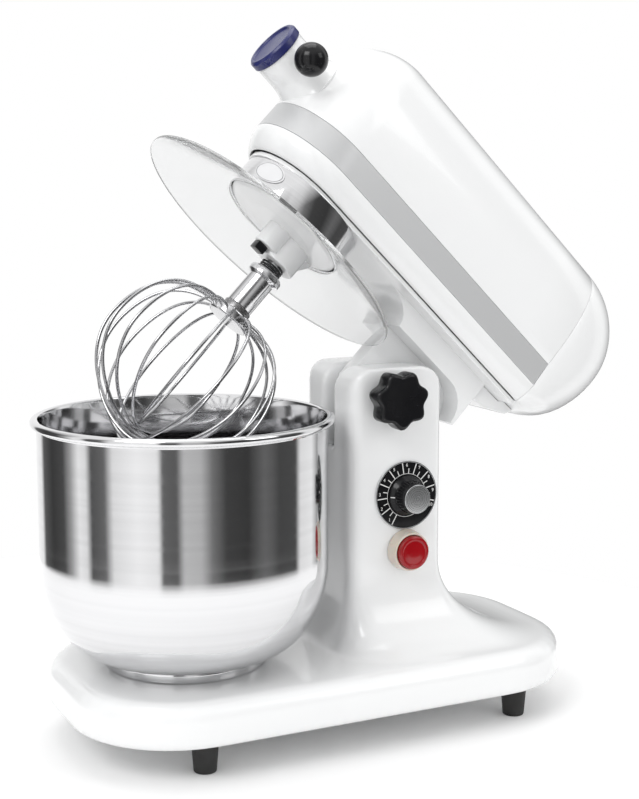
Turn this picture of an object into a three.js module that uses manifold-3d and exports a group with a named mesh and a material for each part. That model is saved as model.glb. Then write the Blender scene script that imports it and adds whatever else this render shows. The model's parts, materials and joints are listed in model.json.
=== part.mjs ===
// A tilt-head stand mixer: cast stand with a forked column, tilting motor head with
// planetary drive, wire whisk, twist-locked steel bowl, clamp knob, speed dial and button.
// Millimetres, +Z up, front towards -Y, controls on +X. The head is drawn lowered, with its
// planetary axis on the bowl's axis (x = 0, y = 0), and a group then tilts it back.

import * as THREE from 'three';
import { mergeVertices } from 'three/addons/utils/BufferGeometryUtils.js';
import Module from 'manifold-3d';

const wasm = await Module();
wasm.setup();

// ---------------------------------------------------------------- driving dimensions
const GAP = 0.3;                 // between touching pieces
const RUNNING = 0.5;             // between pieces that turn or slide on each other

const BASE_HALF_WIDTH = 114;
const BASE_FRONT = -106;
const BASE_REAR = 332;
const BASE_CORNER = 88;
const BASE_UNDERSIDE = 30;       // height of the casting's lower edge above the table
const BASE_TOP = 65;             // height of the bowl seat above the table
const BASE_WALL = 5;

const COLUMN_HALF_WIDTH = 44.5;
const COLUMN_FRONT = 130;
const COLUMN_REAR = 217;
const COLUMN_ABOVE_GUARD = 24;    // top of the cheeks above the lowered guard
const COLUMN_CORNER = 11;        // rounding of the column's upright edges
const CHEEK_CORNER = 24;         // rounding of the cheeks' upper rear corner
const CHEEK_FRONT_CORNER = 20;   // upper front corner, clear of the guard as the head tilts
const COLUMN_WALL = 6;
const SLOT_HALF_WIDTH = 9;
const LIP_BELOW_PIVOT = 16;      // the slot's front lip
const FLOOR_BELOW_PIVOT = 29;    // the slot's floor behind the lip
const LIP_DEPTH = 9;

const PIVOT_Y = 190;
const PIVOT_BELOW_GUARD = 29;
const PIN_RADIUS = 6;
const BUSH_WALL = 3;
const TILT_DEG = 44.2;           // angle between the lowered and the raised head

const BOWL_LIP_RADIUS = 115;     // inside the rim
const BOWL_HEIGHT = 203;
const BOWL_WALL = 1.6;
const BOWL_FOOT_RADIUS = 66;
const BOWL_FOOT_HEIGHT = 9;
const RIM_BEAD = 3.4;            // radius of the rolled rim

const GUARD_ABOVE_RIM = 9;       // lowered splash guard above the bowl's rim
const GUARD_RADIUS = 122.7;
const GUARD_RISE = 20;           // height of the cone from its rim to the ring
const GUARD_WALL = 2;

const RING_RADIUS = 56;
const RING_WALL = 1.6;
const RING_HEIGHT = 24;

const HEAD_HALF_WIDTH = 60.5;    // at the widest, just above the lower band
const HEAD_FRONT = -69.5;
const HEAD_SPLIT = 243;          // where the rear cap meets the cover
const REAR_DOME = 75;            // how far the rear cap bulges behind the split
const HEAD_BOTTOM = 49.4;        // heights in the head are measured from the guard's rim
const STRIP_BOTTOM = 68.4;
const STRIP_TOP = 91.7;
const HEAD_TOP = 195;
const HEAD_WALL = 3.6;
const STRIP_DEPTH = 1.1;
const STRIP_THICKNESS = 0.7;

const NECK_HALF_WIDTH = 32;
const NECK_FRONT = 92;
const TONGUE_FRONT = 127;
const TONGUE_TIP = -35;
const TONGUE_BOSS_RADIUS = 22;
const RECESS_CLEARANCE = 1.6;    // between the neck and the cheeks when lowered
const NECK_REAR_WALL = 3;
const PLATE_THICKNESS = 3.6;

const CARRIER_RADIUS = 53.5;
const CARRIER_THICKNESS = 7;
const CARRIER_BOTTOM = 19;
const BEATER_BOSS_RADIUS = 17.5;
const BEATER_BOSS_LENGTH = 24;
const CENTRE_BOSS_RADIUS = 11;
const CENTRE_BOSS_LENGTH = 21;
const RIB_HALF_WIDTH = 5;        // stiffening rib from the beater boss to the carrier's edge
const ECCENTRICITY = 20;         // planetary axis to beater axis
const BEATER_ANGLE_DEG = 111;    // where the beater axis stands, from +X towards the rear
const RING_TEETH = 50;
const PINION_TEETH = 18;
const PLANET_GEAR_HEIGHT = 9;
const RING_GEAR_RIM = 3.4;
const CENTRE_SHAFT_RADIUS = 6.5;
const BOLT_RADIUS = 3;
const BOLT_HEAD = 4.8;           // half the width of the bolt's square head
const BOLT_Y = -4;
const BEARING_RADIUS = 15;
const BEARING_WIDTH = 9;
const TOWER_TOP = 88;

const MAIN_SHAFT_HEIGHT = 118;
const MAIN_SHAFT_RADIUS = 6;
const BEVEL_PINION_TEETH = 14;
const CROWN_TEETH = 28;
const BEVEL_PINION_RADIUS = 15;
const BEVEL_FACE = 0.3;          // share of the cone that the bevel teeth take
const MOTOR_RADIUS = 38;
const MOTOR_FRONT = 118;
const MOTOR_REAR = 236;

const HUB_RADIUS = 22;
const HUB_FRONT = -100;
const HUB_BORE = 16;
const HUB_CAP_THICKNESS = 8;
const THUMBSCREW_Y = -87;
const BALL_RADIUS = 13.5;
const BALL_CENTRE_X = 42;

const BEATER_SHAFT_RADIUS = 6;
const SPRING_LENGTH = 9;
const SPRING_COIL_RADIUS = 9.5;
const SPRING_WIRE = 0.85;
const WHISK_PUSH = 5;            // how far the whisk is pushed up to unhook it
const COLLAR_RADIUS = 15;
const COLLAR_HEIGHT = 8;
const TUBE_RADIUS = 11.5;
const TUBE_LENGTH = 29;
const WHISK_RADIUS = 74;
const WHISK_TIP_CLEARANCE = 5;   // above the bowl's inner floor
const WHISK_LOOPS = 8;
const WHISK_WIRE = 1.3;
const WHISK_HUB_RADIUS = 19;

const CLAMP_Y = 163;
const STAR_RADIUS = 24.5;
const STAR_LOBES = 7;
const STAR_BACK = 9.5;           // the star stands this far off the cheek
const STAR_THICKNESS = 17;
const STUD_RADIUS = 4;

const DIAL_Y = 180;
const DIAL_Z = 193.5;
const DIAL_RADIUS = 29;
const DIAL_PLATE = 1.4;
const KNOB_SKIRT_RADIUS = 17;
const KNOB_GRIP_RADIUS = 12.6;
const KNOB_DEPTH = 17.5;
const BUTTON_Y = 180;
const BUTTON_RADIUS = 14;
const BUTTON_PROUD = 4;          // the button stands this far out of its bezel
const BEZEL_WALL = 3.5;          // at its widest, round the button
const BEZEL_DEPTH = 12;

const FOOT_X = 79;
const FOOT_FRONT_Y = -16.5;
const FOOT_REAR_Y = 268.5;
const FOOT_TOP_RADIUS = 11.5;
const FOOT_BOTTOM_RADIUS = 9;
const FOOT_SCREW_RADIUS = 2.5;
const SEAT_RADIUS = 57;
const SEAT_THICKNESS = 5;

const FRONT_FLARE = 22;
const FLARE_RISE = 72;
const SEAT_SCREW_RADIUS = 1.6;
const SEAT_SCREW_CIRCLE = 42;
const SPINDLE_RADIUS = 3;
const BUTTON_STEM_RADIUS = 4;
const GLAND_THREAD_RADIUS = 6;
const GLAND_FLANGE_RADIUS = 9;
const GLAND_HEIGHT = 100;
const COVER_THICKNESS = 1.6;
const SCREW_SEAT = 11;
const LUG_REACH = 5;
const LUG_HALF_ANGLE = 9;
const TAB_THICKNESS = 1.8;
const BEZEL_FLOOR = 1.6;
const BUTTON_TRAVEL = 3;
const STAR_WAVE = 2.1;
const CROWN_POWER = 2.3;
const BROW_POWER = 2.7;
const BROW_REACH = 81.5;         // from the front of the head to where its top runs flat
const BAND_TUCK = 6.5;           // how far the lower band curves in at its edge
const STRIP_TOP_HALF_WIDTH = 58;
const DOME_MIDDLE = 130;
const DOME_BELOW = 84;
const SOCKET_RADIUS = 10;
const THUMB_STUD_RADIUS = 3;
const LABEL_ANGLE_DEG = -59;     // where the oval plate sits on the ring, from +X
const LABEL_HALF_WIDTH = 14.5;
const LABEL_HALF_HEIGHT = 8.5;
const LABEL_RISE = 13.5;
const LABEL_THICKNESS = 0.8;
const DRIVE_PIN_RADIUS = 2;
const DRIVE_PIN_HALF_LENGTH = 10;
const DRIVE_PIN_DROP = 4;        // below the top of the whisk's collar
const SPRING_TURNS = 3;
const SLOT_TURN_DEG = 50;
const WHISK_RING_RADIUS = 12.4;
const WHISK_RING_HEIGHT = 6;
const WHISK_HUB_HEIGHT = 8.4;
const WHISK_WAIST = -120;        // height of the widest place of the balloon
const WHISK_ROOT_RADIUS = 16.5;  // where the wires enter the hub
const WHISK_NEST = 2.9;          // each loop passes this far above the one below
const WHISK_SHOULDER_POWER = 0.585;
const WHISK_TIP_POWER = 1.12;
const SHAFT_END_CLEARANCE = 2;
const ARMATURE_RADIUS = 28;
const CAN_WALL = 4;
const SOCKET_DEPTH = 20;
const SQUARE_HALF = 5.2;         // half of the square drive in the hub
const CAP_FACE = 18.5;
const CAP_RECESS = 1.5;
const BELLY_RADIUS = 116.6;
const BELLY_TOP = 150;           // above this height the bowl's side is upright
const SHOULDER_RADIUS = 64;      // where the flat bottom turns up into the belly

// ---------------------------------------------------------------- derived places
const GUARD_Z = BASE_TOP + BOWL_HEIGHT + GUARD_ABOVE_RIM;
const COLUMN_TOP = GUARD_Z + COLUMN_ABOVE_GUARD;
const PIVOT_Z = GUARD_Z - PIVOT_BELOW_GUARD;
const SLOT_LIP = PIVOT_Z - LIP_BELOW_PIVOT;
const SLOT_FLOOR = PIVOT_Z - FLOOR_BELOW_PIVOT;
const CLAMP_Z = GUARD_Z;         // the clamp stud lies level with the lowered guard
const BEZEL_RADIUS = BUTTON_RADIUS + BEZEL_WALL;
const BUTTON_Z = DIAL_Z - DIAL_RADIUS - BEZEL_RADIUS;
const BEATER_ANGLE = THREE.MathUtils.degToRad(BEATER_ANGLE_DEG);
const BEATER_X = ECCENTRICITY * Math.cos(BEATER_ANGLE);
const BEATER_Y = ECCENTRICITY * Math.sin(BEATER_ANGLE);
const RING_BOTTOM = GUARD_RISE + GAP + GUARD_WALL / 2;
const RING_TOP = RING_BOTTOM + RING_HEIGHT;
const BOSS_END = CARRIER_BOTTOM - BEATER_BOSS_LENGTH;
const COLLAR_TOP = BOSS_END - SPRING_LENGTH;
const TUBE_TOP = COLLAR_TOP - COLLAR_HEIGHT;
const TUBE_BOTTOM = TUBE_TOP - TUBE_LENGTH;
const BOWL_FLOOR = BASE_TOP + BOWL_FOOT_HEIGHT;

// ---------------------------------------------------------------- materials
const paint = (color, roughness, metalness) =>
  new THREE.MeshStandardMaterial({ color, roughness, metalness });
const WHITE = paint('#f2f3f3', 0.22, 0.0);
const STEEL = paint('#c9cbcd', 0.12, 1.0);
const DARK_STEEL = paint('#55585b', 0.4, 0.9);
const BLACK = paint('#111213', 0.35, 0.0);
const RUBBER = paint('#1b1b1c', 0.85, 0.0);
const GREY = paint('#c3c5c6', 0.35, 0.2);
const BLUE = paint('#20245e', 0.4, 0.0);
const RED = paint('#b3131a', 0.18, 0.0);
const CREAM = paint('#d8cfc2', 0.3, 0.0);
const CLEAR = paint('#eef1f2', 0.08, 0.0);
const BRASS = paint('#b08d4a', 0.3, 1.0);
const GREEN = paint('#1f5b3a', 0.6, 0.0);
const ALUMINIUM = paint('#d6d8da', 0.3, 1.0);

// ---------------------------------------------------------------- shaping helpers
// Every piece is built as a closed solid; a solid whose faces point in is turned right way out.
function solid(geometry) {
  const bare = geometry.clone();
  bare.deleteAttribute('normal');
  bare.deleteAttribute('uv');
  const merged = mergeVertices(bare, 1e-4);
  const vertProperties = new Float32Array(merged.attributes.position.array);
  const corner = (i) => new THREE.Vector3().fromArray(vertProperties, 3 * i);
  const triVerts = [];
  let volume = 0;
  for (let i = 0; i < merged.index.count; i += 3) {
    const [a, b, c] = [0, 1, 2].map((k) => merged.index.getX(i + k));
    if (a === b || b === c || c === a) continue;
    triVerts.push(a, b, c);
    volume += corner(a).dot(corner(b).cross(corner(c)));
  }
  if (volume < 0) triVerts.reverse();
  return new wasm.Manifold(new wasm.Mesh({
    numProp: 3, vertProperties, triVerts: new Uint32Array(triVerts),
  }));
}

function geometryOf(manifold) {
  const { vertProperties, triVerts } = manifold.getMesh();
  const geometry = new THREE.BufferGeometry();
  geometry.setAttribute('position', new THREE.BufferAttribute(vertProperties, 3));
  geometry.setIndex(new THREE.BufferAttribute(triVerts, 1));
  geometry.computeVertexNormals();
  return geometry;
}

const join = (...solids) => solids.reduce((a, b) => a.add(b));
const cut = (body, ...tools) => tools.reduce((a, b) => a.subtract(b), body);

const Z_TO_X = new THREE.Matrix4().makeBasis(
  new THREE.Vector3(0, 1, 0), new THREE.Vector3(0, 0, 1), new THREE.Vector3(1, 0, 0));

// A turned piece about +Z: [radius, height] pairs from axis to axis, or round a closed loop.
function turned(profile, segments = 32) {
  const points = profile.map(([radius, height]) => new THREE.Vector2(radius, height));
  return new THREE.LatheGeometry(points, segments).rotateX(Math.PI / 2);
}

const tube = (outer, inner, z0, z1, segments = 32) => turned(
  [[inner, z0], [outer, z0], [outer, z1], [inner, z1], [inner, z0]], segments);

const rod = (radius, z0, z1, segments = 24) => turned(
  [[0, z0], [radius, z0], [radius, z1], [0, z1]], segments);

// Turned pieces laid along +X or +Y, centred on the other two coordinates.
const alongX = (geometry, y, z) => geometry.applyMatrix4(Z_TO_X).translate(0, y, z);
const alongY = (geometry, x, z) => geometry.rotateX(-Math.PI / 2).translate(x, 0, z);

const box = (x0, x1, y0, y1, z0, z1) => new THREE.BoxGeometry(x1 - x0, y1 - y0, z1 - z0)
  .translate((x0 + x1) / 2, (y0 + y1) / 2, (z0 + z1) / 2);

const vectors = (pairs) => pairs.map(([x, y]) => new THREE.Vector2(x, y));

const arc = (x, y, radius, fromDeg, toDeg, steps) => Array.from({ length: steps + 1 }, (_, i) => {
  const angle = THREE.MathUtils.degToRad(fromDeg + (toDeg - fromDeg) * i / steps);
  return [x + radius * Math.cos(angle), y + radius * Math.sin(angle)];
});

// A flat outline raised along +Z.
const raised = (pairs, z0, z1) => new THREE.ExtrudeGeometry(
  new THREE.Shape(vectors(pairs)), { depth: z1 - z0, bevelEnabled: false }).translate(0, 0, z0);

// An outline in the side view, [y, z] pairs, given the width x0 to x1.
const sideways = (pairs, x0, x1) => new THREE.ExtrudeGeometry(
  new THREE.Shape(vectors(pairs)), { depth: x1 - x0, bevelEnabled: false })
  .applyMatrix4(Z_TO_X).translate(x0, 0, 0);

// A closed body through level outlines that all have the same number of points.
function stack(levels) {
  const count = levels[0].points.length;
  const position = levels.flatMap(({ z, points }) => points.flatMap(([x, y]) => [x, y, z]));
  const index = [];
  for (let level = 0; level + 1 < levels.length; level += 1) {
    for (let i = 0; i < count; i += 1) {
      const a = level * count + i;
      const b = level * count + (i + 1) % count;
      index.push(a, b, a + count, b, b + count, a + count);
    }
  }
  const first = THREE.ShapeUtils.triangulateShape(vectors(levels[0].points), []);
  const last = THREE.ShapeUtils.triangulateShape(vectors(levels.at(-1).points), []);
  const offset = (levels.length - 1) * count;
  first.forEach(([a, b, c]) => index.push(c, b, a));
  last.forEach(([a, b, c]) => index.push(offset + a, offset + b, offset + c));
  const geometry = new THREE.BufferGeometry();
  geometry.setAttribute('position', new THREE.Float32BufferAttribute(position, 3));
  geometry.setIndex(index);
  return geometry;
}

const rounded = (x0, x1, y0, y1, radius, steps = 6) => [
  ...arc(x1 - radius, y0 + radius, radius, -90, 0, steps),
  ...arc(x1 - radius, y1 - radius, radius, 0, 90, steps),
  ...arc(x0 + radius, y1 - radius, radius, 90, 180, steps),
  ...arc(x0 + radius, y0 + radius, radius, 180, 270, steps),
];

// Four points a tooth; a negative height makes the inward teeth of a ring gear.
function gearOutline(teeth, pitchRadius, height, rootDepth, phase) {
  const pitch = 2 * Math.PI / teeth;
  const shares = [[-0.29, -rootDepth], [-0.13, height], [0.13, height], [0.29, -rootDepth]];
  return Array.from({ length: teeth }, (_, tooth) => shares.map(([share, rise]) => {
    const angle = phase + (tooth + share) * pitch;
    const radius = pitchRadius + rise;
    return [radius * Math.cos(angle), radius * Math.sin(angle)];
  })).flat();
}

// A bevel gear below its apex, which is at the origin, with its axis along Z.
function bevelGear(teeth, pitchRadius, apexHeight, phase) {
  const cone = Math.hypot(pitchRadius, apexHeight);
  const size = pitchRadius * 2 / teeth;
  const pitch = 2 * Math.PI / teeth;
  const shares = [[-0.29, -1.1], [-0.12, 0.8], [0.12, 0.8], [0.29, -1.1]];
  const rim = (scale) => Array.from({ length: teeth }, (_, tooth) => shares.map(([share, rise]) => {
    const angle = phase + (tooth + share) * pitch;
    const radius = scale * (pitchRadius + rise * size * apexHeight / cone);
    const height = scale * (-apexHeight + rise * size * pitchRadius / cone);
    return [radius * Math.cos(angle), radius * Math.sin(angle), height];
  })).flat();
  const count = 4 * teeth;
  const position = [...rim(1).flat(), ...rim(1 - BEVEL_FACE).flat(),
    0, 0, -apexHeight - size, 0, 0, -(1 - BEVEL_FACE) * apexHeight - size];
  const index = [];
  for (let i = 0; i < count; i += 1) {
    const next = (i + 1) % count;
    index.push(i, next, count + i, next, count + next, count + i);
    index.push(2 * count, next, i, 2 * count + 1, count + i, count + next);
  }
  const geometry = new THREE.BufferGeometry();
  geometry.setAttribute('position', new THREE.Float32BufferAttribute(position, 3));
  geometry.setIndex(index);
  return geometry;
}

// Cap screw along +Z at (x, y), its head's top at z1, with a hexagon socket.
function capScrew(x, y, radius, z0, z1, headRadius, headHeight) {
  const body = turned([[0, z0], [radius, z0], [radius, z1 - headHeight],
    [headRadius, z1 - headHeight], [headRadius, z1], [0, z1]], 10).translate(x, y, 0);
  const socket = rod(headRadius * 0.5, z1 - headHeight * 0.6, z1 + 1, 6).translate(x, y, 0);
  return cut(solid(body), solid(socket));
}

// ---------------------------------------------------------------- scene graph
const mixer = new THREE.Group();
const head = new THREE.Group();
head.position.set(0, PIVOT_Y, PIVOT_Z);
head.rotation.x = -THREE.MathUtils.degToRad(TILT_DEG);
const headDrawing = new THREE.Group();
headDrawing.position.set(0, -PIVOT_Y, GUARD_Z - PIVOT_Z);
head.add(headDrawing);
mixer.add(head);

function piece(group, name, material, body) {
  const mesh = new THREE.Mesh(geometryOf(body), material);
  mesh.name = name;
  group.add(mesh);
  return mesh;
}

// ---------------------------------------------------------------- stand
// How far the column's foot spreads at a height above the base: a quarter ellipse.
function flare(height, reach, rise) {
  const share = 1 - Math.min(Math.max(height, 0), rise) / rise;
  return reach * (1 - Math.sqrt(1 - share * share));
}

const REAR_FLARE = BASE_REAR - 14 - COLUMN_REAR;
const SIDE_FLARE = BASE_HALF_WIDTH - 16 - COLUMN_HALF_WIDTH;
const PIN_END = COLUMN_HALF_WIDTH - 6;
const GLAND_SEAT = COLUMN_REAR + 5;

function columnOutline(z, inset) {
  const height = z - BASE_TOP;
  const side = COLUMN_HALF_WIDTH - inset + flare(height, SIDE_FLARE, FLARE_RISE * 0.8);
  const front = COLUMN_FRONT + inset - flare(height, FRONT_FLARE, FLARE_RISE * 0.8);
  const rear = COLUMN_REAR - inset + flare(height, REAR_FLARE, FLARE_RISE);
  const corner = COLUMN_CORNER - inset / 2 + flare(height, SIDE_FLARE * 0.9, FLARE_RISE);
  return { z, points: rounded(-side, side, front, rear, corner, 4) };
}

const baseOutline = (z, inset) => ({ z, points: rounded(
  -BASE_HALF_WIDTH + inset, BASE_HALF_WIDTH - inset,
  BASE_FRONT + inset, BASE_REAR - inset, BASE_CORNER - inset, 6) });

const feet = [['front_left', -1, FOOT_FRONT_Y], ['front_right', 1, FOOT_FRONT_Y],
  ['rear_left', -1, FOOT_REAR_Y], ['rear_right', 1, FOOT_REAR_Y]];

const seatScrewAngles = [30, 150, 270].map(THREE.MathUtils.degToRad);
const seatScrewPlaces = seatScrewAngles.map(
  (angle) => [SEAT_SCREW_CIRCLE * Math.cos(angle), SEAT_SCREW_CIRCLE * Math.sin(angle)]);

function standCasting() {
  const base = solid(stack([
    baseOutline(BASE_UNDERSIDE, 3), baseOutline(BASE_UNDERSIDE + 4, 0),
    baseOutline(BASE_TOP - 14, 0), baseOutline(BASE_TOP - 6, 2.5),
    baseOutline(BASE_TOP - 2, 7), baseOutline(BASE_TOP, 13)]));
  const heights = [BASE_TOP - 9, BASE_TOP + 0.8, BASE_TOP + 5, BASE_TOP + 12, BASE_TOP + 22,
    BASE_TOP + 36, BASE_TOP + 54, BASE_TOP + FLARE_RISE, COLUMN_TOP];
  const column = solid(stack(heights.map((z) => columnOutline(z, 0))));
  const cheekCorner = sideways([
    ...arc(COLUMN_REAR - CHEEK_CORNER, COLUMN_TOP - CHEEK_CORNER, CHEEK_CORNER, 0, 90, 6),
    [COLUMN_REAR - CHEEK_CORNER, COLUMN_TOP + 1], [COLUMN_REAR + 1, COLUMN_TOP + 1],
    [COLUMN_REAR + 1, COLUMN_TOP - CHEEK_CORNER],
  ], -COLUMN_HALF_WIDTH - 1, COLUMN_HALF_WIDTH + 1);
  const cheekFrontCorner = sideways([
    ...arc(COLUMN_FRONT + CHEEK_FRONT_CORNER, COLUMN_TOP - CHEEK_FRONT_CORNER,
      CHEEK_FRONT_CORNER, 180, 90, 6),
    [COLUMN_FRONT + CHEEK_FRONT_CORNER, COLUMN_TOP + 1], [COLUMN_FRONT - 1, COLUMN_TOP + 1],
    [COLUMN_FRONT - 1, COLUMN_TOP - CHEEK_FRONT_CORNER],
  ], -COLUMN_HALF_WIDTH - 1, COLUMN_HALF_WIDTH + 1);
  const slot = sideways([
    [COLUMN_FRONT - 1, SLOT_LIP], [COLUMN_FRONT + LIP_DEPTH, SLOT_LIP],
    [COLUMN_FRONT + LIP_DEPTH, SLOT_FLOOR], [COLUMN_REAR + 1, SLOT_FLOOR],
    [COLUMN_REAR + 1, COLUMN_TOP + 1], [COLUMN_FRONT - 1, COLUMN_TOP + 1],
  ], -SLOT_HALF_WIDTH, SLOT_HALF_WIDTH);
  const baseCavity = solid(stack([
    baseOutline(BASE_UNDERSIDE - 1, 3 + BASE_WALL), baseOutline(BASE_TOP - 7, 3 + BASE_WALL)]));
  const posts = feet.map(([, side, y]) => solid(
    rod(8, BASE_UNDERSIDE + 3, BASE_TOP - 5, 12).translate(side * FOOT_X, y, 0)));
  const columnCavity = solid(raised(rounded(
    -COLUMN_HALF_WIDTH + COLUMN_WALL, COLUMN_HALF_WIDTH - COLUMN_WALL,
    COLUMN_FRONT + COLUMN_WALL, COLUMN_REAR - COLUMN_WALL, 5, 2),
  BASE_UNDERSIDE + 20, SLOT_FLOOR - COLUMN_WALL));
  const footHoles = feet.map(([, side, y]) => solid(
    rod(FOOT_SCREW_RADIUS + GAP, BASE_UNDERSIDE, BASE_TOP - 12, 8).translate(side * FOOT_X, y, 0)));
  const seatHoles = seatScrewPlaces.map(([x, y]) => solid(
    rod(SEAT_SCREW_RADIUS + GAP, BASE_TOP - 20, BASE_TOP + 1, 8).translate(x, y, 0)));
  const hollow = cut(baseCavity, ...posts);
  return cut(join(base, column), solid(cheekCorner), solid(cheekFrontCorner), solid(slot),
    hollow, columnCavity,
    ...footHoles, ...seatHoles,
    solid(alongX(rod(PIN_RADIUS + GAP, -COLUMN_HALF_WIDTH - 1, PIN_END + GAP, 20), PIVOT_Y, PIVOT_Z)),
    solid(alongX(rod(STUD_RADIUS + GAP, 0, COLUMN_HALF_WIDTH + 1, 12), CLAMP_Y, CLAMP_Z)),
    solid(alongX(rod(SPINDLE_RADIUS + 1, 20, COLUMN_HALF_WIDTH + 1, 12), DIAL_Y, DIAL_Z)),
    solid(alongX(rod(BUTTON_STEM_RADIUS + 1, 20, COLUMN_HALF_WIDTH + 1, 12), BUTTON_Y, BUTTON_Z)),
    solid(alongY(rod(GLAND_THREAD_RADIUS + GAP, COLUMN_REAR - 20, COLUMN_REAR + 60, 16),
      0, GLAND_HEIGHT)),
    solid(alongY(rod(GLAND_FLANGE_RADIUS + 2, GLAND_SEAT, COLUMN_REAR + 60, 24),
      0, GLAND_HEIGHT)));
}

piece(mixer, 'stand_casting', WHITE, standCasting());

const COVER_BOTTOM = BASE_UNDERSIDE + 0.6;
piece(mixer, 'bottom_cover', GREY, cut(
  solid(stack([baseOutline(COVER_BOTTOM, 3 + BASE_WALL + RUNNING),
    baseOutline(COVER_BOTTOM + COVER_THICKNESS, 3 + BASE_WALL + RUNNING)])),
  ...feet.map(([, side, y]) => solid(
    rod(FOOT_SCREW_RADIUS + GAP, 0, BASE_TOP, 8).translate(side * FOOT_X, y, 0)))));

const FOOT_TOP = COVER_BOTTOM - GAP;
for (const [place, side, y] of feet) {
  piece(mixer, `foot_${place}`, RUBBER, solid(turned([
    [FOOT_SCREW_RADIUS + GAP, SCREW_SEAT], [5.4, SCREW_SEAT], [5.4, 0],
    [FOOT_BOTTOM_RADIUS - 1, 0], [FOOT_BOTTOM_RADIUS, 1], [FOOT_TOP_RADIUS, FOOT_TOP],
    [FOOT_SCREW_RADIUS + GAP, FOOT_TOP], [FOOT_SCREW_RADIUS + GAP, SCREW_SEAT],
  ], 10).translate(side * FOOT_X, y, 0)));
  const screw = solid(turned([[0, SCREW_SEAT - 3.3], [4.6, SCREW_SEAT - 3.3],
    [4.6, SCREW_SEAT - GAP], [FOOT_SCREW_RADIUS, SCREW_SEAT - GAP],
    [FOOT_SCREW_RADIUS, BASE_TOP - 14], [0, BASE_TOP - 14]], 8).translate(side * FOOT_X, y, 0));
  piece(mixer, `foot_screw_${place}`, STEEL, screw);
}

// Bayonet seat: a plate on the base whose three lugs reach over the bowl's tabs.
const SEAT_BOTTOM = BASE_TOP + GAP;
const seatTop = SEAT_BOTTOM + SEAT_THICKNESS;
const sector = (inner, outer, middleDeg, halfDeg, z0, z1) => raised([
  ...arc(0, 0, outer, middleDeg - halfDeg, middleDeg + halfDeg, 4),
  ...arc(0, 0, inner, middleDeg + halfDeg, middleDeg - halfDeg, 4)], z0, z1);
piece(mixer, 'bowl_seat', STEEL, cut(
  join(solid(rod(SEAT_RADIUS, SEAT_BOTTOM, seatTop, 36)),
    ...[90, 210, 330].map((deg) => solid(sector(
      SEAT_RADIUS - 4, SEAT_RADIUS + LUG_REACH, deg, LUG_HALF_ANGLE, seatTop - 1.8, seatTop)))),
  ...seatScrewPlaces.map(([x, y]) => solid(
    turned([[0, BASE_TOP], [SEAT_SCREW_RADIUS + GAP, BASE_TOP],
      [SEAT_SCREW_RADIUS + GAP, seatTop - 2.4], [3.6, seatTop - 2.4], [3.6, seatTop + 1],
      [0, seatTop + 1]], 10).translate(x, y, 0)))));
seatScrewPlaces.forEach(([x, y], i) => {
  const screw = capScrew(x, y, SEAT_SCREW_RADIUS, BASE_TOP - 9, seatTop - 0.1, 3.2, 2.0);
  piece(mixer, `seat_screw_${i + 1}`, STEEL, screw);
});

piece(mixer, 'hinge_pin', STEEL, solid(alongX(turned([
  [0, -COLUMN_HALF_WIDTH + 0.5], [PIN_RADIUS, -COLUMN_HALF_WIDTH + 0.5],
  [PIN_RADIUS, PIN_END - 1], [PIN_RADIUS - 1, PIN_END], [0, PIN_END]], 20), PIVOT_Y, PIVOT_Z)));

piece(mixer, 'cable_gland', BLACK, cut(
  join(
    solid(alongY(rod(GLAND_THREAD_RADIUS, COLUMN_REAR - 14, GLAND_SEAT + 2, 16), 0, GLAND_HEIGHT)),
    solid(alongY(rod(GLAND_FLANGE_RADIUS, GLAND_SEAT + GAP, GLAND_SEAT + 8, 6), 0, GLAND_HEIGHT)),
    solid(alongY(turned([[0, GLAND_SEAT + 7], [7.4, GLAND_SEAT + 7], [7.4, GLAND_SEAT + 12],
      [5, GLAND_SEAT + 17], [0, GLAND_SEAT + 17]], 16), 0, GLAND_HEIGHT))),
  solid(alongY(rod(3.4, COLUMN_REAR - 20, GLAND_SEAT + 30, 12), 0, GLAND_HEIGHT))));

// ---------------------------------------------------------------- controls
const SIDE = COLUMN_HALF_WIDTH + GAP;
const WALL_INSIDE = COLUMN_HALF_WIDTH - COLUMN_WALL - GAP;

piece(mixer, 'dial_plate', BLACK, solid(alongX(
  tube(DIAL_RADIUS, SPINDLE_RADIUS + 1.5, SIDE, SIDE + DIAL_PLATE, 28), DIAL_Y, DIAL_Z)));
piece(mixer, 'speed_potentiometer', DARK_STEEL, cut(
  solid(alongX(rod(11, WALL_INSIDE - 20, WALL_INSIDE, 20), DIAL_Y, DIAL_Z)),
  solid(alongX(rod(SPINDLE_RADIUS + GAP, WALL_INSIDE - 12, WALL_INSIDE + 1, 12), DIAL_Y, DIAL_Z))));

const knobBack = SIDE + DIAL_PLATE + RUNNING;
const knobFront = SIDE + DIAL_PLATE + KNOB_DEPTH;
const knob = alongX(turned([
  [0, knobBack], [KNOB_SKIRT_RADIUS, knobBack], [KNOB_SKIRT_RADIUS, knobBack + 2],
  [KNOB_GRIP_RADIUS + 1, knobBack + 5], [KNOB_GRIP_RADIUS, knobFront - 1],
  [KNOB_GRIP_RADIUS - 1, knobFront], [0, knobFront]], 24), DIAL_Y, DIAL_Z);
piece(mixer, 'dial_knob', BLACK, cut(solid(knob),
  solid(alongX(rod(SPINDLE_RADIUS + GAP, knobBack - 1, knobFront - 4, 12), DIAL_Y, DIAL_Z))));
piece(mixer, 'dial_knob_cap', ALUMINIUM, solid(alongX(turned([
  [0, knobFront + GAP], [KNOB_GRIP_RADIUS - 0.6, knobFront + GAP],
  [KNOB_GRIP_RADIUS - 0.6, knobFront + 1], [KNOB_GRIP_RADIUS - 1.2, knobFront + 1.4],
  [0, knobFront + 1.4]], 28), DIAL_Y, DIAL_Z)));
piece(mixer, 'dial_spindle', STEEL, solid(alongX(
  rod(SPINDLE_RADIUS, WALL_INSIDE - 11, knobFront - 5, 12), DIAL_Y, DIAL_Z)));

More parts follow.
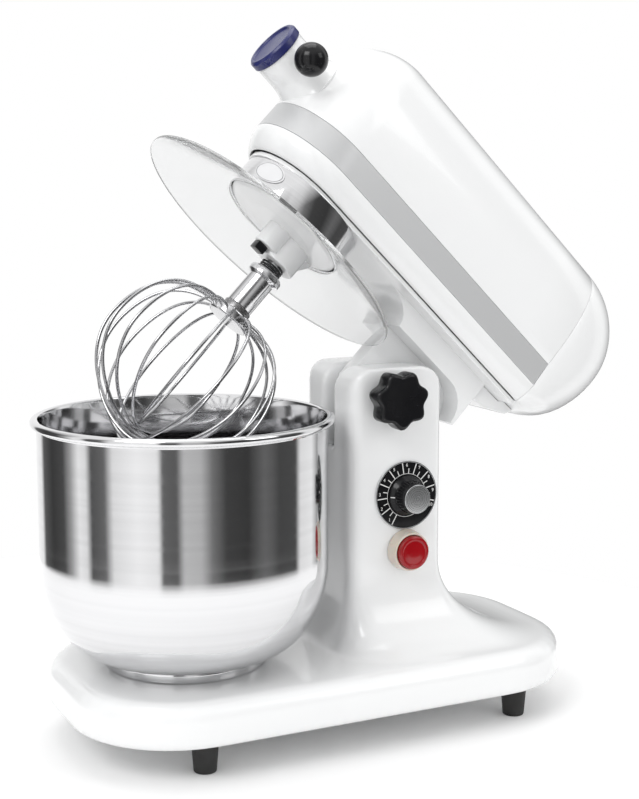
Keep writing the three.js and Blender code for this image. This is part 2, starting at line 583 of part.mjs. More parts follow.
const bezelFront = SIDE + BEZEL_DEPTH;
piece(mixer, 'button_bezel', CREAM, solid(alongX(turned([
  [BUTTON_STEM_RADIUS + 1, SIDE], [BEZEL_RADIUS - 1, SIDE], [BEZEL_RADIUS, SIDE + 2],
  [BEZEL_RADIUS - 1.5, bezelFront], [BUTTON_RADIUS + RUNNING, bezelFront],
  [BUTTON_RADIUS + RUNNING, SIDE + BEZEL_FLOOR], [BUTTON_STEM_RADIUS + 1, SIDE + BEZEL_FLOOR],
  [BUTTON_STEM_RADIUS + 1, SIDE]], 20), BUTTON_Y, BUTTON_Z)));
const buttonBack = SIDE + BEZEL_FLOOR + BUTTON_TRAVEL + 1;
const buttonFront = bezelFront + BUTTON_PROUD;
piece(mixer, 'red_button', RED, solid(alongX(turned([
  [0, WALL_INSIDE - 3], [BUTTON_STEM_RADIUS, WALL_INSIDE - 3], [BUTTON_STEM_RADIUS, buttonBack],
  [BUTTON_RADIUS, buttonBack], [BUTTON_RADIUS, buttonFront - 2.5],
  [BUTTON_RADIUS - 1.5, buttonFront - 0.8], [BUTTON_RADIUS - 5, buttonFront],
  [0, buttonFront + 0.4]], 20), BUTTON_Y, BUTTON_Z)));
piece(mixer, 'push_switch', BLACK, cut(
  solid(box(WALL_INSIDE - 26, WALL_INSIDE, BUTTON_Y - 10, BUTTON_Y + 10, BUTTON_Z - 10,
    BUTTON_Z + 10)),
  solid(alongX(rod(BUTTON_STEM_RADIUS + RUNNING, WALL_INSIDE - 3 - BUTTON_TRAVEL - 1,
    WALL_INSIDE + 1, 12), BUTTON_Y, BUTTON_Z))));

const BOARD_X = -WALL_INSIDE + 5;
piece(mixer, 'control_board', GREEN, join(
  solid(box(BOARD_X, BOARD_X + 1.6, COLUMN_FRONT + 14, COLUMN_REAR - 14, 95, 165)),
  solid(box(BOARD_X + 1, BOARD_X + 14, COLUMN_FRONT + 20, COLUMN_FRONT + 36, 105, 125)),
  solid(box(BOARD_X + 1, BOARD_X + 11, COLUMN_FRONT + 40, COLUMN_FRONT + 56, 135, 155))));

// Star knob and its stud, which presses on the neck's tongue.
const starBack = COLUMN_HALF_WIDTH + STAR_BACK;
const starFront = starBack + STAR_THICKNESS;
const starOutline = Array.from({ length: STAR_LOBES * 6 }, (_, i) => {
  const angle = 2 * Math.PI * i / (STAR_LOBES * 6);
  const radius = STAR_RADIUS - STAR_WAVE + STAR_WAVE * Math.cos(STAR_LOBES * angle);
  return [radius * Math.cos(angle), radius * Math.sin(angle)];
});
piece(mixer, 'star_knob', BLACK, cut(
  join(solid(alongX(raised(starOutline, starBack, starFront), CLAMP_Y, CLAMP_Z)),
    solid(alongX(rod(7, COLUMN_HALF_WIDTH + 1, starBack + 2, 16), CLAMP_Y, CLAMP_Z))),
  solid(alongX(rod(STUD_RADIUS + GAP, COLUMN_HALF_WIDTH - 1, starFront - 6, 12), CLAMP_Y, CLAMP_Z))));
piece(mixer, 'clamp_stud', STEEL, solid(alongX(
  rod(STUD_RADIUS, SLOT_HALF_WIDTH - RUNNING + GAP, starFront - 7, 12), CLAMP_Y, CLAMP_Z)));

// ---------------------------------------------------------------- head shells
// Level outline of the bullet-shaped head: round front, straight sides, domed rear.
function headOutline(z, inset) {
  const bandShare = Math.max(0, (STRIP_BOTTOM - z) / (STRIP_BOTTOM - HEAD_BOTTOM));
  const stripShare = Math.min(Math.max((z - STRIP_BOTTOM) / (STRIP_TOP - STRIP_BOTTOM), 0), 1);
  const crown = Math.min(Math.max((z - STRIP_TOP) / (HEAD_TOP - inset - STRIP_TOP), 0), 0.995);
  const sides = HEAD_HALF_WIDTH - BAND_TUCK * bandShare ** 2
    - (HEAD_HALF_WIDTH - STRIP_TOP_HALF_WIDTH) * stripShare - inset;
  const halfWidth = sides * (1 - crown ** CROWN_POWER) ** (1 / CROWN_POWER);
  const brow = BROW_REACH * (1 - (1 - crown ** BROW_POWER) ** (1 / BROW_POWER));
  const front = HEAD_FRONT + 1.4 * BAND_TUCK * bandShare ** 2 + brow + inset;
  const domeShare = z > DOME_MIDDLE ? (z - DOME_MIDDLE) / (HEAD_TOP - DOME_MIDDLE + 1)
    : (DOME_MIDDLE - z) / DOME_BELOW;
  const dome = REAR_DOME * Math.sqrt(1 - Math.min(domeShare, 0.97) ** 2) - inset;
  const points = [
    ...arc(0, 0, 1, 180, 360, 13).map(([x, y]) => [halfWidth * x, front + halfWidth * (1 + y)]),
    ...arc(0, 0, 1, 0, 180, 9).map(([x, y]) => [halfWidth * x, HEAD_SPLIT + dome * y]),
  ];
  return { z, points };
}

const shellHeights = [HEAD_BOTTOM, 53.5, 59.5, STRIP_BOTTOM, STRIP_TOP, 115, 135, 152, 166, 178,
  187, 192.5, HEAD_TOP];
const headSolid = (inset, bottom) => solid(stack([
  { z: bottom, points: headOutline(Math.max(bottom, HEAD_BOTTOM), inset).points },
  ...shellHeights.filter((z) => z > bottom && z < HEAD_TOP - inset).map((z) => headOutline(z, inset)),
  headOutline(HEAD_TOP - inset, inset)]));
const behind = (y) => solid(box(-200, 200, y, y + 300, 0, 300));
const ahead = (y) => solid(box(-200, 200, y - 500, y, 0, 300));

const headBullet = headSolid(0, HEAD_BOTTOM);
const headHollow = headSolid(HEAD_WALL, HEAD_BOTTOM - 5);
const stripBand = (inset, lower, upper) => solid(stack(
  [lower, upper].map((z) => headOutline(z, inset))));

const hubTube = solid(alongY(turned([[0, HUB_FRONT], [HUB_RADIUS, HUB_FRONT],
  [HUB_RADIUS, HEAD_FRONT - 8], [HUB_RADIUS + 3, HEAD_FRONT - 2],
  [HUB_RADIUS + 9, HEAD_FRONT + 5], [HUB_RADIUS + 9, HEAD_FRONT + 16], [0, HEAD_FRONT + 16]], 32),
0, MAIN_SHAFT_HEIGHT));
const stripRecess = cut(
  solid(raised(rounded(-90, 90, HEAD_FRONT - 20, HEAD_SPLIT + 1, 4, 1), STRIP_BOTTOM, STRIP_TOP)),
  stripBand(STRIP_DEPTH, STRIP_BOTTOM - 1, STRIP_TOP + 1));
const capScrewHole = solid(alongY(rod(2.3, HEAD_SPLIT, HEAD_SPLIT + 120, 10), 0, DOME_MIDDLE));

piece(headDrawing, 'head_cover', WHITE, cut(
  join(cut(headBullet, headHollow), cut(hubTube, headHollow)),
  behind(HEAD_SPLIT - GAP / 2), stripRecess,
  solid(alongY(rod(HUB_BORE, HUB_FRONT - 1, HEAD_FRONT + 20, 28), 0, MAIN_SHAFT_HEIGHT)),
  solid(alongX(rod(THUMB_STUD_RADIUS + GAP, 8, HUB_RADIUS + 5, 10),
    THUMBSCREW_Y, MAIN_SHAFT_HEIGHT))));

piece(headDrawing, 'rear_cap', WHITE, cut(
  cut(headBullet, ahead(HEAD_SPLIT + GAP / 2), headSolid(HEAD_WALL, HEAD_BOTTOM + HEAD_WALL)),
  capScrewHole));
const domeEnd = HEAD_SPLIT + REAR_DOME;
piece(headDrawing, 'rear_cap_screw', STEEL, solid(alongY(turned([
  [0, MOTOR_REAR + GAP], [2, MOTOR_REAR + GAP], [2, domeEnd + GAP], [4.6, domeEnd + GAP],
  [3.4, domeEnd + 2.4], [0, domeEnd + 3]], 12), 0, DOME_MIDDLE)));

piece(headDrawing, 'spec_strip', GREY, cut(
  stripBand(STRIP_DEPTH - GAP - STRIP_THICKNESS, STRIP_BOTTOM + GAP, STRIP_TOP - GAP),
  stripBand(STRIP_DEPTH - GAP, STRIP_BOTTOM - 1, STRIP_TOP + 1),
  behind(HEAD_SPLIT - 2 * GAP)));

// ---------------------------------------------------------------- lower housing and neck
const PLATE_TOP = HEAD_BOTTOM - GAP;
const PLATE_BOTTOM = PLATE_TOP - PLATE_THICKNESS;
const HOUSING_RADIUS = RING_RADIUS - RING_WALL - GAP;
const HOUSING_BOTTOM = CARRIER_BOTTOM + CARRIER_THICKNESS + RUNNING;
const GEAR_BOTTOM = HOUSING_BOTTOM + 2;
const GEAR_TOP = GEAR_BOTTOM + PLANET_GEAR_HEIGHT;
const GEAR_MODULE = 2 * ECCENTRICITY / (RING_TEETH - PINION_TEETH);
const RING_PITCH_RADIUS = GEAR_MODULE * RING_TEETH / 2;
const PINION_PITCH_RADIUS = GEAR_MODULE * PINION_TEETH / 2;
const RING_GEAR_RADIUS = RING_PITCH_RADIUS + GEAR_MODULE * 1.15 + RING_GEAR_RIM;
const inNeck = (z) => z - GUARD_Z;      // from a height above the table to one in the head
const RECESS_TOP = inNeck(COLUMN_TOP) + RECESS_CLEARANCE;
const RECESS_REAR = COLUMN_REAR + RECESS_CLEARANCE;
const RECESS_CORNER = CHEEK_CORNER + RECESS_CLEARANCE;
const TONGUE_HALF_WIDTH = SLOT_HALF_WIDTH - RUNNING;
const PIVOT_HEIGHT = inNeck(PIVOT_Z);

const neckBlock = sideways([
  [NECK_FRONT, PLATE_TOP - 1],
  ...arc(NECK_FRONT, RECESS_TOP, 1, 90, 0, 6).map(([y, z]) => [
    NECK_FRONT + (y - NECK_FRONT) * (TONGUE_FRONT - 4 - NECK_FRONT),
    RECESS_TOP + (z - RECESS_TOP) * (PLATE_BOTTOM - RECESS_TOP)]),
  ...arc(RECESS_REAR - RECESS_CORNER, RECESS_TOP - RECESS_CORNER, RECESS_CORNER, 90, 0, 6),
  [RECESS_REAR + NECK_REAR_WALL, RECESS_TOP - RECESS_CORNER],
  [RECESS_REAR + NECK_REAR_WALL, PLATE_TOP - 1],
], -NECK_HALF_WIDTH, NECK_HALF_WIDTH);
const tongue = sideways([
  [TONGUE_FRONT - 10, PLATE_BOTTOM + 1], [TONGUE_FRONT - 4, RECESS_TOP + 4],
  [TONGUE_FRONT, RECESS_TOP], [TONGUE_FRONT, TONGUE_TIP + 5],
  [TONGUE_FRONT + 4, TONGUE_TIP],
  ...arc(PIVOT_Y, PIVOT_HEIGHT, TONGUE_BOSS_RADIUS, -105, 0, 7),
  [RECESS_REAR + 1, RECESS_TOP - RECESS_CORNER], [RECESS_REAR + 1, PLATE_BOTTOM + 1],
], -TONGUE_HALF_WIDTH, TONGUE_HALF_WIDTH);
const plateOutline = (z) => ({ z, points: headOutline(HEAD_BOTTOM, 3).points });
const gearHousing = turned([
  [RING_GEAR_RADIUS + GAP, HOUSING_BOTTOM], [RING_GEAR_RADIUS + 4, HOUSING_BOTTOM],
  [RING_GEAR_RADIUS + 4.5, PLATE_BOTTOM - 3], [HOUSING_RADIUS - 3.5, PLATE_BOTTOM - 3],
  [HOUSING_RADIUS - 3, HOUSING_BOTTOM], [HOUSING_RADIUS, HOUSING_BOTTOM],
  [HOUSING_RADIUS, PLATE_BOTTOM + 1], [BEARING_RADIUS + GAP, PLATE_BOTTOM + 1],
  [BEARING_RADIUS + GAP, GEAR_TOP + 3], [RING_GEAR_RADIUS + GAP, GEAR_TOP + 3],
  [RING_GEAR_RADIUS + GAP, HOUSING_BOTTOM]], 32);
const tower = tube(BEARING_RADIUS + GAP + 4, BEARING_RADIUS + GAP, PLATE_BOTTOM + 0.5, TOWER_TOP, 24);
const plateCut = rod(BEARING_RADIUS + GAP, PLATE_BOTTOM - 10, PLATE_TOP + 10, 24);

piece(headDrawing, 'lower_housing', WHITE, cut(
  join(
    cut(join(
      cut(solid(stack([plateOutline(PLATE_BOTTOM), plateOutline(PLATE_TOP)])),
        behind(HEAD_SPLIT - GAP / 2)),
      solid(neckBlock), solid(tongue)), solid(plateCut)),
    solid(gearHousing), solid(tower)),
  solid(alongX(rod(PIN_RADIUS + BUSH_WALL + 2 * GAP, -20, 20, 20), PIVOT_Y, PIVOT_HEIGHT))));

piece(headDrawing, 'hinge_bush', BRASS, solid(alongX(
  tube(PIN_RADIUS + BUSH_WALL + GAP, PIN_RADIUS + GAP, -TONGUE_HALF_WIDTH, TONGUE_HALF_WIDTH, 20),
  PIVOT_Y, PIVOT_HEIGHT)));

const CHIN_HALF_WIDTH = NECK_HALF_WIDTH - 2;
const chinTop = PLATE_BOTTOM - GAP;
const chinFront = RECESS_REAR + NECK_REAR_WALL + GAP;
piece(headDrawing, 'chin_cover', WHITE, solid(sideways([
  [chinFront, chinTop], [chinFront, 30], [chinFront + 13, 31], [HEAD_SPLIT + 14, 42],
  [HEAD_SPLIT + 18, HEAD_BOTTOM - GAP], [HEAD_SPLIT + 1, HEAD_BOTTOM - GAP],
  [HEAD_SPLIT + 1, chinTop]], -CHIN_HALF_WIDTH, CHIN_HALF_WIDTH)));

piece(headDrawing, 'drip_ring', STEEL, solid(
  tube(RING_RADIUS, RING_RADIUS - RING_WALL, RING_BOTTOM, PLATE_BOTTOM - GAP, 40)));

const labelOutline = arc(0, 0, 1, 0, 345, 23).map(([x, y]) => [
  LABEL_HALF_WIDTH * x, LABEL_HALF_HEIGHT * y]);
const ontoRing = (geometry) => geometry.rotateX(Math.PI / 2).rotateZ(Math.PI / 2)
  .rotateZ(THREE.MathUtils.degToRad(LABEL_ANGLE_DEG)).translate(0, 0, RING_BOTTOM + LABEL_RISE);
piece(headDrawing, 'label_plate', GREY, cut(
  solid(ontoRing(raised(labelOutline, -RING_RADIUS - 6, -RING_RADIUS * 0.8))),
  solid(rod(RING_RADIUS + GAP, 0, PLATE_BOTTOM, 48)),
  solid(tube(RING_RADIUS + 20, RING_RADIUS + GAP + LABEL_THICKNESS, 0, PLATE_BOTTOM, 48))));

const guardCollar = CARRIER_RADIUS + 1.2;
piece(headDrawing, 'splash_guard', CLEAR, solid(turned([
  [GUARD_RADIUS - 1.6, 0], [GUARD_RADIUS, 0], [GUARD_RADIUS, 2.4], [GUARD_RADIUS - 1.6, 2.4],
  [RING_RADIUS + 3.5, GUARD_RISE + GUARD_WALL / 2], [guardCollar, GUARD_RISE + GUARD_WALL / 2],
  [guardCollar, GUARD_RISE - GUARD_WALL / 2], [RING_RADIUS + 3, GUARD_RISE - GUARD_WALL / 2],
  [GUARD_RADIUS - 1.6, 0]], 40)));

// ---------------------------------------------------------------- planetary drive
const ringOutline = gearOutline(RING_TEETH, RING_PITCH_RADIUS, -0.85 * GEAR_MODULE,
  -1.15 * GEAR_MODULE, BEATER_ANGLE);
piece(headDrawing, 'ring_gear', DARK_STEEL, cut(
  solid(rod(RING_GEAR_RADIUS, GEAR_BOTTOM, GEAR_TOP, 40)),
  solid(raised(ringOutline, GEAR_BOTTOM - 1, GEAR_TOP + 1))));

const bearing = (bottom) => solid(tube(
  BEARING_RADIUS, CENTRE_SHAFT_RADIUS + GAP, bottom, bottom + BEARING_WIDTH, 24));
const LOWER_BEARING = PLATE_TOP + 2;
const UPPER_BEARING = TOWER_TOP - BEARING_WIDTH - 1;
piece(headDrawing, 'lower_bearing', STEEL, bearing(LOWER_BEARING));
piece(headDrawing, 'upper_bearing', STEEL, bearing(UPPER_BEARING));

const beaterAt = (geometry) => geometry.translate(BEATER_X, BEATER_Y, 0);
const CARRIER_TOP = CARRIER_BOTTOM + CARRIER_THICKNESS;
const CENTRE_BOSS_END = CARRIER_BOTTOM - CENTRE_BOSS_LENGTH;
const SHAFT_FOOT = CARRIER_BOTTOM - 8;
const rib = sideways([
  [ECCENTRICITY, CARRIER_BOTTOM + 1], [ECCENTRICITY, CENTRE_BOSS_END + 4],
  [ECCENTRICITY + BEATER_BOSS_RADIUS, CENTRE_BOSS_END + 6], [CARRIER_RADIUS - 6, CARRIER_BOTTOM - 2],
  [CARRIER_RADIUS - 6, CARRIER_BOTTOM + 1]], -RIB_HALF_WIDTH, RIB_HALF_WIDTH)
  .rotateZ(BEATER_ANGLE - Math.PI / 2);
const boltAt = (geometry) => geometry.translate(0, BOLT_Y, 0);
piece(headDrawing, 'planet_carrier', WHITE, cut(
  join(
    solid(turned([[0, CARRIER_BOTTOM - 2], [30, CARRIER_BOTTOM - 2],
      [CARRIER_RADIUS - 4, CARRIER_BOTTOM], [CARRIER_RADIUS, CARRIER_BOTTOM + 2],
      [CARRIER_RADIUS, CARRIER_TOP], [0, CARRIER_TOP]], 36)),
    solid(beaterAt(turned([[0, BOSS_END], [BEATER_BOSS_RADIUS - 1, BOSS_END],
      [BEATER_BOSS_RADIUS, BOSS_END + 1], [BEATER_BOSS_RADIUS, CARRIER_TOP - 1],
      [0, CARRIER_TOP - 1]], 24))),
    solid(turned([[0, CENTRE_BOSS_END], [CENTRE_BOSS_RADIUS - 1, CENTRE_BOSS_END],
      [CENTRE_BOSS_RADIUS, CENTRE_BOSS_END + 1], [CENTRE_BOSS_RADIUS, CARRIER_TOP - 1],
      [0, CARRIER_TOP - 1]], 24)),
    solid(rib)),
  solid(beaterAt(rod(BEATER_SHAFT_RADIUS + RUNNING, BOSS_END - 1, CARRIER_TOP + 1, 20))),
  solid(rod(CENTRE_SHAFT_RADIUS + GAP, SHAFT_FOOT - GAP, CARRIER_TOP + 1, 16)),
  solid(boltAt(rod(BOLT_RADIUS + GAP, CENTRE_BOSS_END - 1, SHAFT_FOOT - 2, 8)))));
piece(headDrawing, 'boss_screw', BLACK, join(
  solid(boltAt(box(-BOLT_HEAD, BOLT_HEAD, -BOLT_HEAD, BOLT_HEAD,
    CENTRE_BOSS_END - GAP - 2 * BOLT_HEAD * 0.7, CENTRE_BOSS_END - GAP))),
  solid(boltAt(rod(BOLT_RADIUS, CENTRE_BOSS_END - 1, SHAFT_FOOT - 3, 8)))));

const CROWN_PITCH_RADIUS = BEVEL_PINION_RADIUS * CROWN_TEETH / BEVEL_PINION_TEETH;
const CROWN_HUB_BOTTOM = TOWER_TOP + 1.5;
const crownBore = rod(CENTRE_SHAFT_RADIUS + GAP, 0, MAIN_SHAFT_HEIGHT, 16);
const CENTRE_SHAFT_TOP = MAIN_SHAFT_HEIGHT - MAIN_SHAFT_RADIUS - 3;
piece(headDrawing, 'centre_shaft', STEEL, solid(
  rod(CENTRE_SHAFT_RADIUS, SHAFT_FOOT, CENTRE_SHAFT_TOP, 16)));
piece(headDrawing, 'crown_gear', DARK_STEEL, cut(
  join(
    solid(bevelGear(CROWN_TEETH, CROWN_PITCH_RADIUS, BEVEL_PINION_RADIUS, Math.PI / 2)
      .translate(0, 0, MAIN_SHAFT_HEIGHT)),
    solid(rod(13, CROWN_HUB_BOTTOM, CENTRE_SHAFT_TOP - 5, 20))),
  solid(crownBore)));

const drivePinHeight = COLLAR_TOP - DRIVE_PIN_DROP;
const crossHole = (radius, reach) => alongX(rod(radius, -reach, reach, 8), 0, drivePinHeight);
const shaftEnd = TUBE_BOTTOM + 8;
piece(headDrawing, 'beater_shaft', STEEL, cut(
  solid(beaterAt(turned([[0, shaftEnd], [BEATER_SHAFT_RADIUS - 1, shaftEnd],
    [BEATER_SHAFT_RADIUS, shaftEnd + 1.5], [BEATER_SHAFT_RADIUS, GEAR_TOP + 1],
    [0, GEAR_TOP + 1]], 16))),
  solid(beaterAt(crossHole(DRIVE_PIN_RADIUS + GAP, 20)))));
piece(headDrawing, 'drive_pin', STEEL, solid(beaterAt(
  crossHole(DRIVE_PIN_RADIUS, DRIVE_PIN_HALF_LENGTH))));
piece(headDrawing, 'planet_pinion', DARK_STEEL, cut(
  solid(beaterAt(raised(gearOutline(PINION_TEETH, PINION_PITCH_RADIUS, 0.85 * GEAR_MODULE,
    1.15 * GEAR_MODULE, BEATER_ANGLE + Math.PI / PINION_TEETH), GEAR_BOTTOM, GEAR_TOP))),
  solid(beaterAt(rod(BEATER_SHAFT_RADIUS + GAP, GEAR_BOTTOM - 1, GEAR_TOP + 1, 16)))));

// A round wire of the given radius along a curve.
function wire(curve, radius, sides, steps) {
  const ring = arc(0, 0, radius, 0, 360 * (sides - 1) / sides, sides - 1);
  return new THREE.ExtrudeGeometry(new THREE.Shape(vectors(ring)), { steps, extrudePath: curve });
}

const springTop = BOSS_END - GAP - SPRING_WIRE;
const springDrop = springTop - (COLLAR_TOP + GAP + SPRING_WIRE);
const springPoints = Array.from({ length: SPRING_TURNS * 12 + 1 }, (_, i) => {
  const angle = 2 * Math.PI * i / 12;
  return new THREE.Vector3(SPRING_COIL_RADIUS * Math.cos(angle),
    SPRING_COIL_RADIUS * Math.sin(angle), springTop - springDrop * i / (SPRING_TURNS * 12));
});
piece(headDrawing, 'shaft_spring', BLACK, solid(beaterAt(wire(
  new THREE.CatmullRomCurve3(springPoints), SPRING_WIRE, 4, SPRING_TURNS * 11))));

// ---------------------------------------------------------------- whisk
// The collar's hooked slots take the drive pin: in from above, a part turn, then up.
const slotReach = DRIVE_PIN_HALF_LENGTH + GAP;
const slotHalf = DRIVE_PIN_RADIUS + GAP;
const slotLow = drivePinHeight - DRIVE_PIN_RADIUS - WHISK_PUSH - RUNNING;
const hook = box(-slotReach, slotReach, -slotHalf, slotHalf, slotLow, drivePinHeight + slotHalf);
const entry = box(-slotReach, slotReach, -slotHalf, slotHalf, slotLow, COLLAR_TOP + 1)
  .rotateZ(THREE.MathUtils.degToRad(SLOT_TURN_DEG));
const slotRun = [0, 180].map((deg) => solid(beaterAt(sector(BEATER_SHAFT_RADIUS, slotReach,
  deg + SLOT_TURN_DEG / 2, SLOT_TURN_DEG / 2, slotLow, drivePinHeight - WHISK_PUSH + slotHalf))));
piece(headDrawing, 'whisk_collar', STEEL, cut(
  solid(beaterAt(turned([
    [BEATER_SHAFT_RADIUS + RUNNING, COLLAR_TOP], [COLLAR_RADIUS - 1.5, COLLAR_TOP],
    [COLLAR_RADIUS, COLLAR_TOP - 1.5], [COLLAR_RADIUS, TUBE_TOP + 2], [TUBE_RADIUS, TUBE_TOP],
    [TUBE_RADIUS, TUBE_BOTTOM], [BEATER_SHAFT_RADIUS + RUNNING, TUBE_BOTTOM],
    [BEATER_SHAFT_RADIUS + RUNNING, COLLAR_TOP]], 28))),
  solid(beaterAt(hook)), solid(beaterAt(entry)), ...slotRun));
const ringFoot = TUBE_BOTTOM - GAP - WHISK_RING_HEIGHT;
piece(headDrawing, 'whisk_ring', DARK_STEEL, solid(beaterAt(tube(
  WHISK_RING_RADIUS, 5, ringFoot, TUBE_BOTTOM - GAP, 24))));

const hubTop = ringFoot - GAP;
const whiskTip = BOWL_FLOOR + BOWL_WALL + WHISK_TIP_CLEARANCE + WHISK_WIRE - GUARD_Z;
const rootTurn = Math.acos((WHISK_ROOT_RADIUS / WHISK_RADIUS) ** (1 / WHISK_SHOULDER_POWER));
function whiskLoop(number) {
  const shoulder = hubTop - 2 - WHISK_WAIST;
  const drop = WHISK_WAIST - whiskTip - WHISK_NEST * number;
  const half = [1, 0.8, 0.6, 0.4, 0.2, 0, -0.25, -0.45, -0.62, -0.78, -0.9].map((share) => {
    const turn = share > 0 ? share * rootTurn : share * Math.PI / 2;
    const power = share > 0 ? WHISK_SHOULDER_POWER : WHISK_TIP_POWER;
    const height = share > 0 ? shoulder : drop;
    return [WHISK_RADIUS * Math.cos(turn) ** power, WHISK_WAIST + height * Math.sin(turn)];
  });
  const across = [...half, [0, WHISK_WAIST - drop],
    ...half.toReversed().map(([radius, z]) => [-radius, z])];
  const angle = Math.PI * number / WHISK_LOOPS;
  const points = across.map(([radius, z]) => new THREE.Vector3(
    radius * Math.cos(angle), radius * Math.sin(angle), z));
  return solid(beaterAt(wire(new THREE.CatmullRomCurve3(points), WHISK_WIRE, 5, 20)));
}
piece(headDrawing, 'whisk_cage', STEEL, join(
  solid(beaterAt(turned([[0, hubTop], [WHISK_HUB_RADIUS - 2, hubTop],
    [WHISK_HUB_RADIUS, hubTop - 1.5], [WHISK_HUB_RADIUS, hubTop - WHISK_HUB_HEIGHT + 1],
    [WHISK_HUB_RADIUS - 1, hubTop - WHISK_HUB_HEIGHT], [0, hubTop - WHISK_HUB_HEIGHT]], 20))),
  ...Array.from({ length: WHISK_LOOPS }, (_, number) => whiskLoop(number))));

// ---------------------------------------------------------------- motor and main shaft
const shaftLine = (geometry) => alongY(geometry, 0, MAIN_SHAFT_HEIGHT);
const socketFront = HUB_FRONT + 8;
const socketRear = HEAD_FRONT + 9.5;
const canBore = MAIN_SHAFT_RADIUS + 1;
piece(headDrawing, 'main_shaft', STEEL, cut(
  solid(shaftLine(turned([[0, socketFront], [SOCKET_RADIUS, socketFront],
    [SOCKET_RADIUS, socketRear], [MAIN_SHAFT_RADIUS, socketRear],
    [MAIN_SHAFT_RADIUS, MOTOR_FRONT + 12], [ARMATURE_RADIUS, MOTOR_FRONT + 12],
    [ARMATURE_RADIUS, MOTOR_REAR - 24], [MAIN_SHAFT_RADIUS, MOTOR_REAR - 24],
    [MAIN_SHAFT_RADIUS, MOTOR_REAR + SHAFT_END_CLEARANCE],
    [0, MOTOR_REAR + SHAFT_END_CLEARANCE]], 20))),
  solid(shaftLine(box(-SQUARE_HALF, SQUARE_HALF, -SQUARE_HALF, SQUARE_HALF,
    socketFront - 1, socketFront + SOCKET_DEPTH)))));
piece(headDrawing, 'bevel_pinion', DARK_STEEL, cut(
  solid(bevelGear(BEVEL_PINION_TEETH, BEVEL_PINION_RADIUS, CROWN_PITCH_RADIUS,
    -Math.PI / 2 + Math.PI / BEVEL_PINION_TEETH).rotateX(Math.PI / 2)
    .translate(0, 0, MAIN_SHAFT_HEIGHT)),
  solid(shaftLine(rod(MAIN_SHAFT_RADIUS + GAP, 0, CROWN_PITCH_RADIUS + 10, 20)))));
piece(headDrawing, 'cooling_fan', DARK_STEEL, cut(
  solid(shaftLine(raised(gearOutline(9, 22, 9, 9, 0), MOTOR_REAR - 20, MOTOR_REAR - 10))),
  solid(shaftLine(rod(MAIN_SHAFT_RADIUS + GAP, MOTOR_REAR - 30, MOTOR_REAR, 20)))));
piece(headDrawing, 'motor_can', DARK_STEEL, solid(shaftLine(turned([
  [canBore, MOTOR_FRONT], [MOTOR_RADIUS, MOTOR_FRONT], [MOTOR_RADIUS, MOTOR_REAR],
  [canBore, MOTOR_REAR], [canBore, MOTOR_REAR - CAN_WALL],
  [MOTOR_RADIUS - CAN_WALL, MOTOR_REAR - CAN_WALL],
  [MOTOR_RADIUS - CAN_WALL, MOTOR_FRONT + CAN_WALL], [canBore, MOTOR_FRONT + CAN_WALL],
  [canBore, MOTOR_FRONT]], 20))));
piece(headDrawing, 'motor_bracket', DARK_STEEL, cut(
  solid(box(-25, 25, MOTOR_FRONT + 22, MOTOR_REAR - 26, PLATE_TOP + GAP, MAIN_SHAFT_HEIGHT - 22)),
  solid(shaftLine(rod(MOTOR_RADIUS + GAP, MOTOR_FRONT, MOTOR_REAR, 28))),
  solid(box(-14, 14, MOTOR_FRONT, MOTOR_REAR, PLATE_TOP + 6, MAIN_SHAFT_HEIGHT - 45))));

// ---------------------------------------------------------------- attachment hub
const CAP_RADIUS = HUB_RADIUS + 1;
const capBack = HUB_FRONT - GAP;
const capFront = capBack - HUB_CAP_THICKNESS;
piece(headDrawing, 'hub_cap', BLUE, solid(shaftLine(turned([
  [0, capFront + CAP_RECESS], [CAP_FACE, capFront + CAP_RECESS], [CAP_FACE + 1, capFront],
  [CAP_RADIUS - 2, capFront], [CAP_RADIUS, capFront + 2], [CAP_RADIUS, capBack],
  [HUB_BORE - RUNNING, capBack], [HUB_BORE - RUNNING, HUB_FRONT + 6], [0, HUB_FRONT + 6]], 24))));
piece(headDrawing, 'hub_thumbscrew', BLACK, join(
  solid(alongX(rod(THUMB_STUD_RADIUS, HUB_BORE + 1, BALL_CENTRE_X, 10),
    THUMBSCREW_Y, MAIN_SHAFT_HEIGHT)),
  solid(new THREE.SphereGeometry(BALL_RADIUS, 16, 9)
    .translate(BALL_CENTRE_X, THUMBSCREW_Y, MAIN_SHAFT_HEIGHT))));

// ---------------------------------------------------------------- bowl
const BEAD_CENTRE = BOWL_LIP_RADIUS + BOWL_WALL + 1.6;
const bowlTop = BASE_TOP + BOWL_HEIGHT;
const belly = (inset) => arc(0, 0, 1, -90, 0, 7).map(([r, z]) => [
  SHOULDER_RADIUS + (BELLY_RADIUS - inset - SHOULDER_RADIUS) * r,
  BELLY_TOP + (BELLY_TOP - BOWL_FLOOR - inset) * z]);
piece(mixer, 'bowl_shell', STEEL, solid(turned([
  [0, BOWL_FLOOR], ...belly(0), [BELLY_RADIUS, bowlTop - 2 * RIM_BEAD],
  ...arc(BEAD_CENTRE, bowlTop - RIM_BEAD, RIM_BEAD, -90, 90, 4),
  [BOWL_LIP_RADIUS, bowlTop - 1], ...belly(BOWL_WALL).toReversed(),
  [0, BOWL_FLOOR + BOWL_WALL]], 36)));
const footBottom = BASE_TOP + RUNNING;
const tabReach = SEAT_RADIUS + 2.5;
piece(mixer, 'bowl_foot', STEEL, join(
  solid(tube(BOWL_FOOT_RADIUS, BOWL_FOOT_RADIUS - 2.4, footBottom, BOWL_FLOOR - GAP, 36)),
  ...[90, 210, 330].map((deg) => solid(sector(tabReach, BOWL_FOOT_RADIUS - 1, deg,
    LUG_HALF_ANGLE - 1, footBottom, footBottom + TAB_THICKNESS)))));

